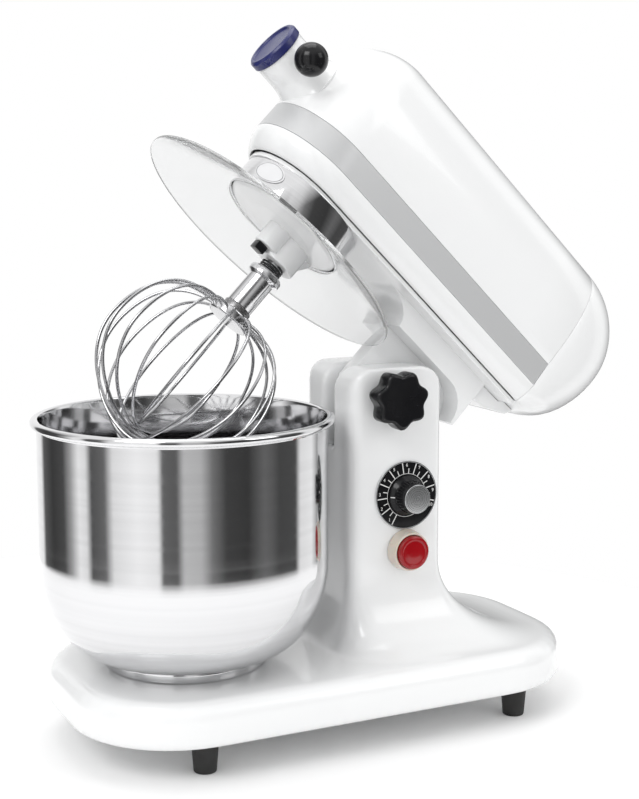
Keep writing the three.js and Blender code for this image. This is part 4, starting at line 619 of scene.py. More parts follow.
def printed_ticks(name, count, first_deg, step_deg, inner, outer, width):
    """Radial bars on the dial, set out by geometry nodes in metres about the origin."""
    group, given, taken, values = geometry_group(
        name, ("Count", "Int", count), ("First angle", "Float", math.radians(first_deg)),
        ("Angle between", "Float", math.radians(step_deg)),
        ("Middle radius", "Float", (inner + outer) / 2), ("Length", "Float", outer - inner),
        ("Width", "Float", width), ("Thickness", "Float", 0.00012),
        ("Print", "Material", print_white))
    line = add_node(group, "GeometryNodeMeshLine")
    line.inputs["Offset"].default_value = (0, 0, 0)
    bar_size = add_node(group, "ShaderNodeCombineXYZ")
    bar = add_node(group, "GeometryNodeMeshCube")
    spread = add_node(group, "GeometryNodeInstanceOnPoints")
    index = add_node(group, "GeometryNodeInputIndex")
    swing = add_node(group, "ShaderNodeMath", operation="MULTIPLY_ADD")
    turning = add_node(group, "ShaderNodeCombineXYZ")
    shift = add_node(group, "ShaderNodeCombineXYZ")
    outward = add_node(group, "GeometryNodeTranslateInstances")
    real = add_node(group, "GeometryNodeRealizeInstances")
    paint = add_node(group, "GeometryNodeSetMaterial")
    link_all(group,
             (given.outputs["Count"], line.inputs["Count"]),
             (given.outputs["Length"], bar_size.inputs["X"]),
             (given.outputs["Width"], bar_size.inputs["Y"]),
             (given.outputs["Thickness"], bar_size.inputs["Z"]),
             (bar_size.outputs[0], bar.inputs["Size"]),
             (index.outputs[0], swing.inputs[0]),
             (given.outputs["Angle between"], swing.inputs[1]),
             (given.outputs["First angle"], swing.inputs[2]),
             (swing.outputs[0], turning.inputs["Z"]),
             (line.outputs[0], spread.inputs["Points"]),
             (bar.outputs[0], spread.inputs["Instance"]),
             (turning.outputs[0], spread.inputs["Rotation"]),
             (given.outputs["Middle radius"], shift.inputs["X"]),
             (spread.outputs[0], outward.inputs["Instances"]),
             (shift.outputs[0], outward.inputs["Translation"]),
             (outward.outputs[0], real.inputs[0]),
             (real.outputs[0], paint.inputs["Geometry"]),
             (given.outputs["Print"], paint.inputs["Material"]),
             (paint.outputs[0], taken.inputs["Geometry"]))
    ticks = laid_out(name, group, values, bpy.data.meshes.new(name))
    lift = Matrix.Translation((0, 0, PLATE_FACE + PRINT_LIFT))
    ticks.data.transform(dial_place @ lift @ Matrix.Scale(1000, 4))
    return ticks


# Angles about the dial run anticlockwise from its lowest point, seen from the control side.
FIRST_NUMBER_DEG, NUMBER_STEP_DEG, NUMBERS, NUMBER_SHIFT_DEG = 330, -28.3, 10, -9
DIGIT_RADIUS, DIGIT_SIZE, TICK_START = 25.4, 4.0, 0.0184
printed = [printed_ticks("dial_long_ticks", NUMBERS, FIRST_NUMBER_DEG, NUMBER_STEP_DEG,
                         TICK_START, 0.0276, 0.0008),
           printed_ticks("dial_short_ticks", NUMBERS - 1, FIRST_NUMBER_DEG + NUMBER_STEP_DEG / 2,
                         NUMBER_STEP_DEG, TICK_START, 0.0226, 0.0007)]
for number in range(1, NUMBERS + 1):
    letters = bpy.data.curves.new("dial number", "FONT")
    letters.body = str(number)
    letters.size = DIGIT_SIZE
    letters.align_x = "CENTER"
    letters.align_y = "CENTER"
    letters.extrude = 0.06
    letters.resolution_u = 4
    angle = math.radians(FIRST_NUMBER_DEG + NUMBER_STEP_DEG * (number - 1) + NUMBER_SHIFT_DEG)
    digit = plain_mesh(bare_object("digit", letters), f"dial_number_{number}")
    across = Matrix.Translation((DIGIT_RADIUS * math.cos(angle), DIGIT_RADIUS * math.sin(angle),
                                 PLATE_FACE + PRINT_LIFT))
    digit.data.transform(dial_place @ across @ Matrix.Rotation(math.radians(90), 4, "Z"))
    printed.append(digit)
CIRCLE_INSIDE, CIRCLE_OUTSIDE, CIRCLE_BACK, CIRCLE_FACE = 18.0, 18.35, 46.1, 46.3
inner_circle = lathe("dial_inner_circle", [
    (CIRCLE_INSIDE, CIRCLE_BACK), (CIRCLE_OUTSIDE, CIRCLE_BACK), (CIRCLE_OUTSIDE, CIRCLE_FACE),
    (CIRCLE_INSIDE, CIRCLE_FACE), (CIRCLE_INSIDE, CIRCLE_BACK)], dial_place)
for print_piece in [*printed, inner_circle]:
    fit(print_piece, print_white, "stand", "white_enamel")

SKIRT_BACK, SKIRT_RADIUS, GRIP_RADIUS, GRIP_FRONT, KNOB_BORE = 46.7, 17, 12.6, 63.7, 3.3
knob = lathe("dial_knob_finish", eased([
    (KNOB_BORE, SKIRT_BACK), (SKIRT_RADIUS, SKIRT_BACK), (SKIRT_RADIUS, SKIRT_BACK + 1.6),
    (GRIP_RADIUS + 1.4, SKIRT_BACK + 4.5), (GRIP_RADIUS + 0.5, SKIRT_BACK + 6),
    (GRIP_RADIUS, GRIP_FRONT), (KNOB_BORE, GRIP_FRONT), (KNOB_BORE, SKIRT_BACK)], 0.8), dial_place)
fit(knob, black_plastic, "dial", "black_plastic", "dial_knob")
cap_back, cap_front, cap_radius = GRIP_FRONT + 0.3, GRIP_FRONT + 1.4, GRIP_RADIUS - 0.6
cap = lathe("dial_knob_cap_finish", eased([
    (0, cap_back), (cap_radius, cap_back), (cap_radius, cap_front), (0, cap_front)], 0.5),
    dial_place)
fit(cap, spun, "dial", "spun_aluminium", "dial_knob_cap")
POINTER_DEG, POINTER_HALF_WIDTH, POINTER_THICKNESS = 270, 0.4, 0.35
pointer_turn = Matrix.Rotation(math.radians(POINTER_DEG), 4, "Z")
pointer_ends = ((GRIP_RADIUS + 1.0, SKIRT_BACK + 4.7), (SKIRT_RADIUS - 0.4, SKIRT_BACK + 1.85))
line_rows = [[(out, side, height + rise) for side, rise in (
    (-POINTER_HALF_WIDTH, 0), (POINTER_HALF_WIDTH, 0), (POINTER_HALF_WIDTH, POINTER_THICKNESS),
    (-POINTER_HALF_WIDTH, POINTER_THICKNESS))] for out, height in pointer_ends]
pointer = skin("dial_pointer_line", line_rows, place=dial_place @ pointer_turn)
fit(pointer, print_white, "dial", "white_enamel")
dress(ground_steel, "dial_spindle")

# ---------------------------------------------------------------- push button
# Glossy red cap in a tapered bezel of cream, slightly see-through plastic.
BUTTON_Z, BEZEL_BACK, BEZEL_FRONT, BUTTON_RADIUS, BUTTON_FRONT = 147, 44.8, 56.8, 14, 60.8
BEZEL_BORE, BEZEL_WEB, STEM_RADIUS, STEM_END, BUTTON_BACK = 5, 46.4, 4, 35, 50.4
button_place = along(stand_place @ Matrix.Translation((0, DIAL_Y, BUTTON_Z)), "x")
bezel = lathe("button_bezel_finish", eased([
    (BEZEL_BORE, BEZEL_BACK), (17, BEZEL_BACK), (17.5, BEZEL_BACK + 2), (16, BEZEL_FRONT),
    (BUTTON_RADIUS + 0.5, BEZEL_FRONT), (BUTTON_RADIUS + 0.5, BEZEL_WEB),
    (BEZEL_BORE, BEZEL_WEB), (BEZEL_BORE, BEZEL_BACK)], 0.6), button_place)
cream = finish("cream plastic", (0.72, 0.66, 0.58), (0.64, 0.57, 0.49), 0.2, 0.35)
tune(cream, Subsurface_Weight=0.35, Subsurface_Scale=0.004)
fit(bezel, cream, "stand", "cream_plastic", "button_bezel")
button = lathe("red_button_finish", eased([
    (0, STEM_END), (STEM_RADIUS, STEM_END), (STEM_RADIUS, BUTTON_BACK),
    (BUTTON_RADIUS, BUTTON_BACK),
    (BUTTON_RADIUS, BUTTON_FRONT - 0.6), (BUTTON_RADIUS - 2.6, BUTTON_FRONT + 0.3),
    (BUTTON_RADIUS - 3.4, BUTTON_FRONT - 0.7), (5, BUTTON_FRONT - 0.3), (0, BUTTON_FRONT - 0.2)],
    0.9), button_place)
red = finish("glossy red", (0.32, 0.002, 0.006), (0.24, 0.001, 0.004), 0.08, 0.16, coat=0.15)
fit(button, red, "button", "red_plastic", "red_button")

# ---------------------------------------------------------------- clamp knob
# A moulded star with seven lobes on a steel stud, which presses on the neck's tongue.
STAR_Y, STAR_Z = 163, 277
star_place = along(stand_place @ Matrix.Translation((0, STAR_Y, STAR_Z)), "x")
STAR_RADIUS, STAR_WAVE, LOBES, STAR_BACK, STAR_FRONT = 24.5, 2.1, 7, 54, 71
star_rings = []
for depth, inset in ((STAR_BACK - 9, 17.5), (STAR_BACK, 17.5), (STAR_BACK, 3),
                     (STAR_BACK + 0.4, 1.2), (STAR_BACK + 1.4, 0.25), (STAR_BACK + 3, 0),
                     (STAR_FRONT - 3.5, 0), (STAR_FRONT - 1.8, 0.45), (STAR_FRONT - 0.7, 1.5),
                     (STAR_FRONT - 0.1, 3.2), (STAR_FRONT, 5), (STAR_FRONT, 9),
                     (STAR_FRONT - 0.5, 12), (STAR_FRONT - 0.5, 24.4)):
    ring = []
    for i in range(LOBES * 24):
        angle = 2 * math.pi * i / (LOBES * 24)
        wave = STAR_WAVE * max(0, 1 - inset / 12)
        radius = STAR_RADIUS - inset - wave + wave * math.cos(LOBES * angle)
        ring.append((radius * math.cos(angle), radius * math.sin(angle), depth))
    star_rings.append(ring)
star = skin("star_knob_finish", star_rings, place=star_place)
fit(star, black_plastic, "clamp", "black_plastic", "star_knob")
dress(ground_steel, "clamp_stud")

# ---------------------------------------------------------------- head shells
# Two enamelled castings meet at a seam: a bullet-shaped cover with the hub's flared tube on
# its brow, and a domed rear cap. Millimetres in the lowered head, then tilted with it.
tilt = joints["head_tilt"]
tilt_angle = math.radians(tilt["range_deg"][1])
PIVOT_Y, PIVOT_LIFT = 190, 29
head_place = (Matrix.Translation(tilt["pos_m"]) @ Matrix.Rotation(-tilt_angle, 4, "X")
              @ Matrix.Scale(0.001, 4) @ Matrix.Translation((0, -PIVOT_Y, PIVOT_LIFT)))
HEAD_HALF_WIDTH, HEAD_FRONT, HEAD_SPLIT, REAR_DOME = 60.5, -69.5, 243, 75
HEAD_BOTTOM, STRIP_BOTTOM, STRIP_TOP, HEAD_TOP = 49.4, 68.4, 91.7, 195
BAND_TUCK, STRIP_TOP_HALF_WIDTH, CROWN_POWER = 6.5, 58, 2.3
BROW_POWER, BROW_REACH, DOME_MIDDLE, DOME_BELOW = 2.7, 81.5, 130, 84
STRIP_DEPTH, SEAM = 1.1, 0.15
SHELL_WALL, RIM_EDGE = 0.0034, 0.0003   # metres, for the modifiers


def clamp(value, low, high):
    return min(max(value, low), high)


def head_size(height, inset):
    """Half width, front and depth of the dome behind the seam, at one height."""
    band = max(0, (STRIP_BOTTOM - height) / (STRIP_BOTTOM - HEAD_BOTTOM))
    strip = clamp((height - STRIP_BOTTOM) / (STRIP_TOP - STRIP_BOTTOM), 0, 1)
    crown = clamp((height - STRIP_TOP) / (HEAD_TOP - inset - STRIP_TOP), 0, 1)
    sides = (HEAD_HALF_WIDTH - BAND_TUCK * band ** 2
             - (HEAD_HALF_WIDTH - STRIP_TOP_HALF_WIDTH) * strip - inset)
    half_width = sides * (1 - crown ** CROWN_POWER) ** (1 / CROWN_POWER)
    brow = BROW_REACH * (1 - (1 - crown ** BROW_POWER) ** (1 / BROW_POWER))
    front = HEAD_FRONT + 1.4 * BAND_TUCK * band ** 2 + brow + inset
    if height > DOME_MIDDLE:
        dome_share = (height - DOME_MIDDLE) / (HEAD_TOP - DOME_MIDDLE + 1)
    else:
        dome_share = (DOME_MIDDLE - height) / DOME_BELOW
    dome = REAR_DOME * math.sqrt(1 - min(dome_share, 0.97) ** 2) - inset
    return half_width, front, dome


def front_line(height, inset, rear, bends=40, sides=6):
    """Open outline round the front, from the seam on +X to the seam on -X."""
    half_width, front, _ = head_size(height, inset)
    shoulder = front + half_width
    run = [(half_width, rear + (shoulder - rear) * step / sides) for step in range(sides)]
    bend = [(half_width * math.cos(math.pi * step / bends),
             shoulder - half_width * math.sin(math.pi * step / bends))
            for step in range(bends + 1)]
    back = [(-x, y) for x, y in reversed(run)]
    return [(x, y, height) for x, y in run + bend + back]


def rear_line(height, inset, bends=32):
    half_width, _, dome = head_size(height, inset)
    return [(half_width * math.cos(math.pi * step / bends),
             HEAD_SPLIT + SEAM + max(dome, 0) * math.sin(math.pi * step / bends), height)
            for step in range(bends + 1)]


def crown_heights(steps=26):
    """Closer together towards the top, where the shell turns over."""
    return [STRIP_TOP + (HEAD_TOP - STRIP_TOP)
            * math.sin(math.radians(90 * step / steps)) ** (2 / CROWN_POWER)
            for step in range(1, steps + 1)]


band_heights = [HEAD_BOTTOM + (STRIP_BOTTOM - HEAD_BOTTOM) * step / 8 for step in range(8)]
strip_levels = [(STRIP_BOTTOM - 0.6, 0), (STRIP_BOTTOM - 0.15, 0.1), (STRIP_BOTTOM, 0.5),
                (STRIP_BOTTOM, STRIP_DEPTH), (STRIP_TOP, STRIP_DEPTH), (STRIP_TOP, 0.5),
                (STRIP_TOP + 0.15, 0.1), (STRIP_TOP + 0.6, 0)]
cover_levels = [(HEAD_BOTTOM, 1.2), (HEAD_BOTTOM + 0.35, 0.4),
                *[(height, 0) for height in [HEAD_BOTTOM + 1.2, *band_heights[1:]]],
                *strip_levels, *[(height, 0) for height in crown_heights()]]
cover = skin("head_cover_outside", [front_line(height, inset, HEAD_SPLIT - SEAM)
                                    for height, inset in cover_levels],
             close_ring=False, cap=False, place=head_place)


def thickened(sheet, name):
    """A shell of even wall behind the outside face, with its rims broken."""
    walls = sheet.modifiers.new("wall", "SOLIDIFY")
    walls.thickness = SHELL_WALL
    walls.offset = -1
    walls.use_even_offset = False
    rims = sheet.modifiers.new("rims", "BEVEL")
    rims.width = RIM_EDGE
    rims.segments = 2
    rims.limit_method = "ANGLE"
    rims.angle_limit = math.radians(60)
    return plain_mesh(sheet, name)


def faces_out(sheet, inside):
    """Turns a sheet's faces away from a point on its inner side."""
    bm = bmesh.new()
    bm.from_mesh(sheet.data)
    away = sum(face.normal.dot(face.calc_center_median() - inside) * face.calc_area()
               for face in bm.faces)
    if away < 0:
        bmesh.ops.reverse_faces(bm, faces=bm.faces)
    bm.to_mesh(sheet.data)
    bm.free()


faces_out(cover, head_place @ Vector((0, 120, 110)))
cover = thickened(cover, "head_cover_finish")

HUB_HEIGHT, HUB_RADIUS, HUB_FRONT, HUB_BORE = 118, 22, -100, 16
hub_place = along(head_place @ Matrix.Translation((0, 0, HUB_HEIGHT)), "y")
HUB_BACK, TUBE_FLARE, FLARE_START, FLARE_LENGTH = -54, 13, -82, 22
flared = [(HUB_RADIUS + TUBE_FLARE * (1 - math.cos(math.radians(angle))),
           FLARE_START + FLARE_LENGTH * math.sin(math.radians(angle)))
          for angle in range(0, 71, 7)]
hub_tube = lathe("head_hub_tube", [
    (HUB_BORE, HUB_FRONT), (HUB_RADIUS - 0.8, HUB_FRONT), (HUB_RADIUS - 0.2, HUB_FRONT + 0.25),
    (HUB_RADIUS, HUB_FRONT + 0.8), *flared, (28, HUB_BACK), (HUB_BORE, HUB_BACK),
    (HUB_BORE, HUB_FRONT)], hub_place)
fit(cover, enamel, "head", "white_enamel", "head_cover", smooth_deg=38)
fit(hub_tube, enamel, "head", "white_enamel")

cap_levels = [*[HEAD_BOTTOM + 1.2 * (1 - math.cos(math.radians(a))) for a in (0, 30, 60, 90)],
              *band_heights[1:], STRIP_BOTTOM, 76, 84, STRIP_TOP, *crown_heights()]
cap_insets = [1.2, 0.6, 0.16, 0] + [0] * (len(cap_levels) - 4)
cap_rings = [rear_line(height, inset) for height, inset in zip(cap_levels, cap_insets)]
floor_centre = [[(x, HEAD_SPLIT + SEAM, HEAD_BOTTOM) for x, _, _ in cap_rings[0]]]
rear_cap = skin("rear_cap_outside", floor_centre + cap_rings, close_ring=False, cap=False,
                place=head_place)
faces_out(rear_cap, head_place @ Vector((0, HEAD_SPLIT, 110)))
rear_cap = thickened(rear_cap, "rear_cap_finish")
fit(rear_cap, enamel, "head", "white_enamel", "rear_cap", smooth_deg=38)
fit(refined("rear_cap_screw", 0.0004), ground_steel, "head", "shaft_steel", "rear_cap_screw")

# ---------------------------------------------------------------- grey strip
# A thin satin plate let into a shallow recess round the head, without any print.
strip_section = [(STRIP_BOTTOM + 0.3, 0.8), (STRIP_BOTTOM + 0.3, 0.35), (STRIP_BOTTOM + 0.55, 0.1),
                 (STRIP_TOP - 0.55, 0.1), (STRIP_TOP - 0.3, 0.35), (STRIP_TOP - 0.3, 0.8)]
strip_rows = [front_line(height, inset, HEAD_SPLIT - 0.6) for height, inset in strip_section]
strip_columns = [list(column) for column in zip(*strip_rows)]
strip = skin("spec_strip_finish", strip_columns, place=head_place)
satin_grey = finish("satin strip", (0.60, 0.605, 0.61), (0.55, 0.555, 0.56), 0.28, 0.4,
                    grain_depth=0.00001, metallic=0.3)
fit(strip, satin_grey, "head", "grey_plate", "spec_strip")

# ---------------------------------------------------------------- neck and lower housing
# The casting under the cover: gear housing, tongue between the column's cheeks, and a chin
# cover behind it that hides the wiring.
fit(refined("lower_housing", 0.0009, 3), enamel, "head", "white_enamel", "lower_housing")
fit(refined("chin_cover", 0.0012, 3), enamel, "head", "white_enamel", "chin_cover")
dress(ground_steel, "lower_bearing", "upper_bearing", "centre_shaft", "main_shaft")
dress(oiled_steel, "ring_gear", "motor_can", "motor_bracket", "planet_pinion", "crown_gear",
      "bevel_pinion", "speed_potentiometer")
bronze = finish("plain bearing bronze", (0.45, 0.29, 0.11), (0.33, 0.2, 0.07), 0.2, 0.4,
                metallic=1.0)
dress(bronze, "hinge_bush")
dress(black_plastic, "push_switch", "cooling_fan")
board_green = finish("circuit board", (0.015, 0.09, 0.045), (0.02, 0.12, 0.05), 0.3, 0.5)
dress(board_green, "control_board")

# ---------------------------------------------------------------- ring and name plate
# Polished steel ring round the gear housing; the maker's oval plate on it is left blank.
RING_RADIUS, RING_WALL, RING_BOTTOM, RING_END = 56, 1.6, 21.3, 45.2
tilted_axis = (head_place.to_3x3() @ Vector((0, 0, 1))).normalized()
mirror_ring = turned_metal("polished ring", (0.80, 0.80, 0.81), head_place.translation,
                           tilted_axis, 0.04, 0.09, ring_scale=500, ring_depth=0.000004)
ring = lathe("drip_ring_finish", eased([
    (RING_RADIUS - RING_WALL, RING_BOTTOM), (RING_RADIUS, RING_BOTTOM), (RING_RADIUS, RING_END),
    (RING_RADIUS - RING_WALL, RING_END), (RING_RADIUS - RING_WALL, RING_BOTTOM)], 0.5),
    head_place, 128)
fit(ring, mirror_ring, "head", "polished_steel", "drip_ring")
LABEL_DEG, LABEL_RISE, LABEL_HALF_WIDTH, LABEL_HALF_HEIGHT = -59, 13.5, 14.5, 8.5


def on_ring(share, lift, count=72):
    """An oval laid round the ring, at a share of its size and a lift off the steel."""
    loop = []
    for i in range(count):
        turn_round = 2 * math.pi * i / count
        across = share * LABEL_HALF_WIDTH * math.cos(turn_round)
        angle = math.radians(LABEL_DEG) + math.asin(across / RING_RADIUS)
        radius = RING_RADIUS + lift
        loop.append((radius * math.cos(angle), radius * math.sin(angle),
                     RING_BOTTOM + LABEL_RISE + share * LABEL_HALF_HEIGHT * math.sin(turn_round)))
    return loop


label = skin("label_plate_finish", [
    *[on_ring(share, 0.3) for share in (0.02, 0.5, 1.0)], on_ring(1.0, 0.85), on_ring(0.985, 1.0),
    *[on_ring(share, 1.1) for share in (0.95, 0.7, 0.45, 0.2, 0.02)]], place=head_place)
plate_white = finish("printed plate", (0.74, 0.74, 0.75), (0.70, 0.70, 0.71), 0.2, 0.3)
fit(label, plate_white, "head", "grey_plate", "label_plate")
outline = skin("label_plate_line", [on_ring(0.88, 1.05), on_ring(0.88, 1.16), on_ring(0.915, 1.16),
                                    on_ring(0.915, 1.05), on_ring(0.88, 1.05)],
               cap=False, place=head_place)
line_grey = finish("plate line", (0.10, 0.10, 0.11), (0.14, 0.14, 0.15), 0.3, 0.45)
fit(outline, line_grey, "head", "grey_plate")

# ---------------------------------------------------------------- splash guard
# A cone of clear plastic hung from the ring, with a rolled edge, held by two small clips.
GUARD_RADIUS, GUARD_RISE, COLLAR = 122.7, 20, 54.7
guard = lathe("splash_guard_finish", eased([
    (GUARD_RADIUS - 2.4, 0), (GUARD_RADIUS, 0), (GUARD_RADIUS, 2.4), (GUARD_RADIUS - 2.4, 2.6),
    (RING_RADIUS + 3.5, GUARD_RISE + 0.9), (COLLAR, GUARD_RISE + 0.9),
    (COLLAR, GUARD_RISE - 0.9), (RING_RADIUS + 3, GUARD_RISE - 0.9), (GUARD_RADIUS - 2.4, 0)],
    0.7, 3), head_place, 144)
clear = finish("clear plastic", (0.965, 0.97, 0.97), (0.95, 0.955, 0.96), 0.04, 0.1,
               grain_depth=0.000005)
tune(clear, Transmission_Weight=0.88, IOR=1.09)
fit(guard, clear, "head", "clear_plastic", "splash_guard")
CLIP_DEGREES, CLIP_HALF_DEGREES = (-27, 153), 8
CLIP_SECTION = [(55.6, 19.2), (57.6, 19.2), (57.6, 21.1), (55.6, 21.1)]
for number, middle in enumerate(CLIP_DEGREES, 1):
    rows = []
    for degrees in range(-CLIP_HALF_DEGREES, CLIP_HALF_DEGREES + 1, 2):
        angle = math.radians(middle + degrees)
        rows.append([(radius * math.cos(angle), radius * math.sin(angle), height)
                     for radius, height in CLIP_SECTION])
    clip = skin(f"guard_clip_{number}", rows, place=head_place)
    fit(clip, black_plastic, "head", "black_plastic")

# ---------------------------------------------------------------- planet carrier
# A cast disc that turns under the ring, with a boss and rib for the beater's shaft and a
# smaller boss on its centre, which a black square-headed bolt holds.
CARRIER_RADIUS, CARRIER_BOTTOM, CARRIER_TOP = 53.5, 19, 26
BEATER_DEG, ECCENTRICITY, BOSS_RADIUS, BOSS_END, RIB_HALF = 111, 20, 17.5, -5, 5
CENTRE_BOSS_RADIUS, CENTRE_BOSS_END, SHAFT_HOLE_RADIUS = 11, -2, 6.5
rib_turn = Matrix.Rotation(math.radians(BEATER_DEG), 4, "Z")
beater_place = head_place @ Matrix.Translation(rib_turn @ Vector((ECCENTRICITY, 0, 0)))
disc = lathe("planet_carrier_disc", eased([
    (0, CARRIER_BOTTOM - 2), (30, CARRIER_BOTTOM - 2), (CARRIER_RADIUS - 4, CARRIER_BOTTOM),
    (CARRIER_RADIUS, CARRIER_BOTTOM + 2), (CARRIER_RADIUS, CARRIER_TOP), (0, CARRIER_TOP)], 1.0),
    head_place)
beater_boss = lathe("beater_boss", eased([(0, BOSS_END), (BOSS_RADIUS, BOSS_END),
                                          (BOSS_RADIUS, CARRIER_TOP - 1), (0, CARRIER_TOP - 1)],
                                         1.6), beater_place, 72)
centre_boss = lathe("centre_boss", eased([
    (0, CENTRE_BOSS_END), (CENTRE_BOSS_RADIUS, CENTRE_BOSS_END),
    (CENTRE_BOSS_RADIUS, CARRIER_TOP - 1), (0, CARRIER_TOP - 1)], 1.4), head_place, 64)
rib_side = eased([(8, CARRIER_BOTTOM + 1), (8, 2), (ECCENTRICITY + BOSS_RADIUS, 4),
                  (CARRIER_RADIUS - 6, CARRIER_BOTTOM - 2),
                  (CARRIER_RADIUS - 6, CARRIER_BOTTOM + 1)], 3)
rib = skin("boss_rib", [[(out, side, height) for out, height in rib_side]
                        for side in (-RIB_HALF, RIB_HALF)], place=head_place @ rib_turn)
shaft_hole = lathe("shaft_hole", [
    (0, BOSS_END - 2), (SHAFT_HOLE_RADIUS, BOSS_END - 2), (SHAFT_HOLE_RADIUS, CARRIER_TOP + 2),
    (0, CARRIER_TOP + 2)], beater_place, 48)
for tool, deed in ((beater_boss, "UNION"), (centre_boss, "UNION"), (rib, "UNION"),
                   (shaft_hole, "DIFFERENCE")):
    joining = disc.modifiers.new(tool.name, "BOOLEAN")
    joining.object = tool
    joining.operation = deed
    joining.solver = "EXACT"
carrier = plain_mesh(disc, "planet_carrier_finish")
for tool in (beater_boss, centre_boss, rib, shaft_hole):
    bpy.data.objects.remove(tool)
fit(carrier, enamel, "planetary", "white_enamel", "planet_carrier")
fit(refined("boss_screw", 0.0006, 3), black_plastic, "planetary", "black_plastic", "boss_screw")

# ---------------------------------------------------------------- wires
# Round wire bent along a path: the coil spring above the collar, and the whisk's loops below.
def wire(name, paths, radius, material, sides=14):
    """Sweeps a round wire along poly paths with geometry nodes."""
    curve = bpy.data.curves.new(name + "_path", "CURVE")
    curve.dimensions = "3D"
    for path in paths:
        spline = curve.splines.new("POLY")
        spline.points.add(len(path) - 1)
        for point, place in zip(spline.points, path):
            point.co = (*place, 1)
    group, given, taken, values = geometry_group(
        name, ("Wire radius", "Float", radius), ("Sides", "Int", sides),
        ("Metal", "Material", material))
    section = add_node(group, "GeometryNodeCurvePrimitiveCircle")
    sweep = add_node(group, "GeometryNodeCurveToMesh")
    sweep.inputs["Fill Caps"].default_value = True
    real = add_node(group, "GeometryNodeRealizeInstances")
    paint = add_node(group, "GeometryNodeSetMaterial")
    link_all(group,
             (given.outputs["Geometry"], sweep.inputs["Curve"]),
             (given.outputs["Sides"], section.inputs["Resolution"]),
             (given.outputs["Wire radius"], section.inputs["Radius"]),
             (section.outputs["Curve"], sweep.inputs["Profile Curve"]),
             (sweep.outputs[0], real.inputs[0]),
             (real.outputs[0], paint.inputs["Geometry"]),
             (given.outputs["Metal"], paint.inputs["Material"]),
             (paint.outputs[0], taken.inputs["Geometry"]))
    return laid_out(name, group, values, curve)


SPRING_TOP, SPRING_FOOT, SPRING_TURNS, COIL_RADIUS = -6.15, -12.85, 3, 9.5
STEPS_PER_TURN = 48
coil = []
for step in range(SPRING_TURNS * STEPS_PER_TURN + 1):
    angle = 2 * math.pi * step / STEPS_PER_TURN
    height = SPRING_TOP + (SPRING_FOOT - SPRING_TOP) * step / (SPRING_TURNS * STEPS_PER_TURN)
    coil.append(beater_place @ Vector((COIL_RADIUS * math.cos(angle),
                                       COIL_RADIUS * math.sin(angle), height)))
spring_black = finish("blackened spring steel", (0.03, 0.03, 0.032), (0.05, 0.05, 0.052), 0.3, 0.5,
                      metallic=0.8, cloud_scale=80)
spring = wire("shaft_spring_finish", [coil], 0.00085, spring_black)
fit(spring, spring_black, "beater", "black_plastic", "shaft_spring", smooth_deg=60)
dress(ground_steel, "beater_shaft", "drive_pin")

# ---------------------------------------------------------------- whisk
# A turned steel collar with hooked slots for the drive pin, on a thin tube; below it a ring
# and a disc that hold eight loops of wire, each passing just above the one before.
turned_steel = turned_metal("turned steel", (0.76, 0.76, 0.77), beater_place.translation,
                            tilted_axis, 0.08, 0.22, ring_scale=1200, ring_depth=0.000012)
fit(refined("whisk_collar", 0.0005, 2), turned_steel, "whisk", "polished_steel", "whisk_collar")
RING_BORE, DARK_RING_RADIUS, RING_FOOT, RING_HEAD = 5, 12.4, -57.3, -51.3
dark_ring = lathe("whisk_ring_finish", eased([
    (RING_BORE, RING_FOOT), (DARK_RING_RADIUS, RING_FOOT), (DARK_RING_RADIUS, RING_HEAD),
    (RING_BORE, RING_HEAD), (RING_BORE, RING_FOOT)], 0.8), beater_place, 64)
fit(dark_ring, oiled_steel, "whisk", "polished_steel", "whisk_ring")
DISC_TOP, DISC_HEIGHT, DISC_RADIUS, WHISK_RADIUS, WAIST, TIP = -57.6, 8.4, 19, 74, -120, -195.1
LOOPS, NEST, ROOT_RADIUS, SHOULDER_POWER, TIP_POWER = 8, 2.9, 16.5, 0.585, 1.12
root_turn = math.acos((ROOT_RADIUS / WHISK_RADIUS) ** (1 / SHOULDER_POWER))


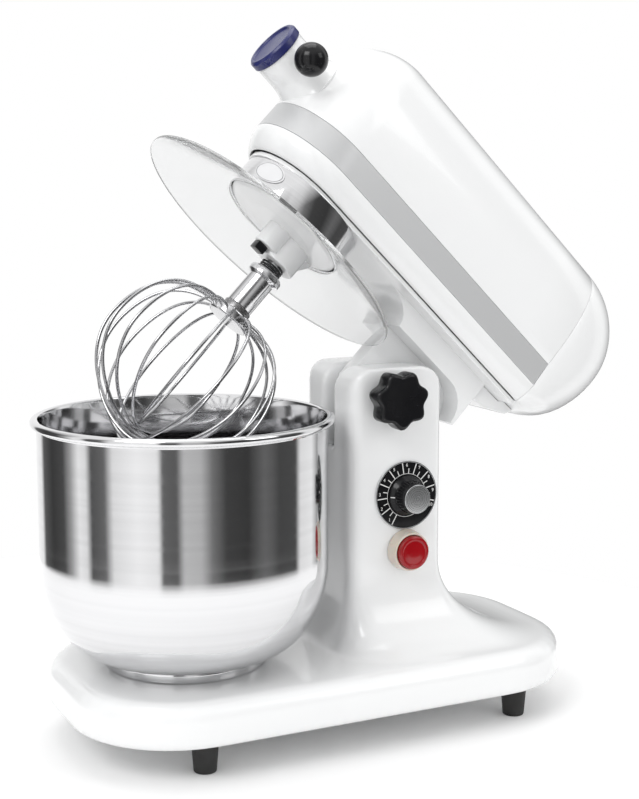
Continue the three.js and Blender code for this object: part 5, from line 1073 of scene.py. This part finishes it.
def loop_path(number):
    shoulder = DISC_TOP - 2 - WAIST
    drop = WAIST - TIP - NEST * number
    half = []
    for step in range(24):
        turn_up = root_turn * (1 - step / 24)
        half.append((WHISK_RADIUS * math.cos(turn_up) ** SHOULDER_POWER,
                     WAIST + shoulder * math.sin(turn_up)))
    for step in range(33):
        turn_down = math.radians(90 * step / 33)
        half.append((WHISK_RADIUS * math.cos(turn_down) ** TIP_POWER,
                     WAIST - drop * math.sin(turn_down)))
    across = [*half, (0, WAIST - drop), *[(-out, height) for out, height in reversed(half)]]
    angle = math.pi * number / LOOPS
    return [beater_place @ Vector((out * math.cos(angle), out * math.sin(angle), height))
            for out, height in across]


wire_steel = finish("drawn steel wire", (0.56, 0.56, 0.57), (0.48, 0.48, 0.49), 0.12, 0.22,
                    grain_depth=0.000004, metallic=1.0)
cage = wire("whisk_cage_finish", [loop_path(number) for number in range(LOOPS)], 0.0013,
            wire_steel)
fit(cage, wire_steel, "whisk", "polished_steel", "whisk_cage", smooth_deg=60)
hub_disc = lathe("whisk_disc", eased([
    (0, DISC_TOP - DISC_HEIGHT), (DISC_RADIUS, DISC_TOP - DISC_HEIGHT), (DISC_RADIUS, DISC_TOP),
    (0, DISC_TOP)], 1.6), beater_place, 72)
fit(hub_disc, turned_steel, "whisk", "polished_steel")

# ---------------------------------------------------------------- attachment hub
# A dark blue cap with a raised, chamfered rim closes the hub; a glossy black ball on a stud
# clamps whatever is put into it.
cap_profile = eased([
    (0, -106.8), (18.3, -106.8), (19.2, -108.3), (21.2, -108.3), (23, -106.2), (23, -100.3),
    (15.5, -100.3), (15.5, -94), (0, -94)], 0.5)
navy = finish("navy moulded cap", (0.012, 0.016, 0.10), (0.018, 0.022, 0.13), 0.25, 0.42,
              cloud_scale=30)
hub_cap = lathe("hub_cap_finish", cap_profile, hub_place, 96)
fit(hub_cap, navy, "hub_cover", "navy_cap", "hub_cap")
THUMBSCREW_Y, BALL_X, BALL_RADIUS, STUD_RADIUS = -87, 42, 13.5, 3
ball_place = along(head_place @ Matrix.Translation((0, THUMBSCREW_Y, HUB_HEIGHT)), "x")
ball_profile = [(0, 17), (STUD_RADIUS, 17), (STUD_RADIUS, BALL_X - BALL_RADIUS + 0.3)]
ball_profile += [(BALL_RADIUS * math.sin(math.radians(angle)),
                  BALL_X - BALL_RADIUS * math.cos(math.radians(angle)))
                 for angle in range(15, 181, 5)]
ball = lathe("hub_thumbscrew_finish", ball_profile, ball_place, 72)
fit(ball, black_plastic, "hub_screw", "black_plastic", "hub_thumbscrew")
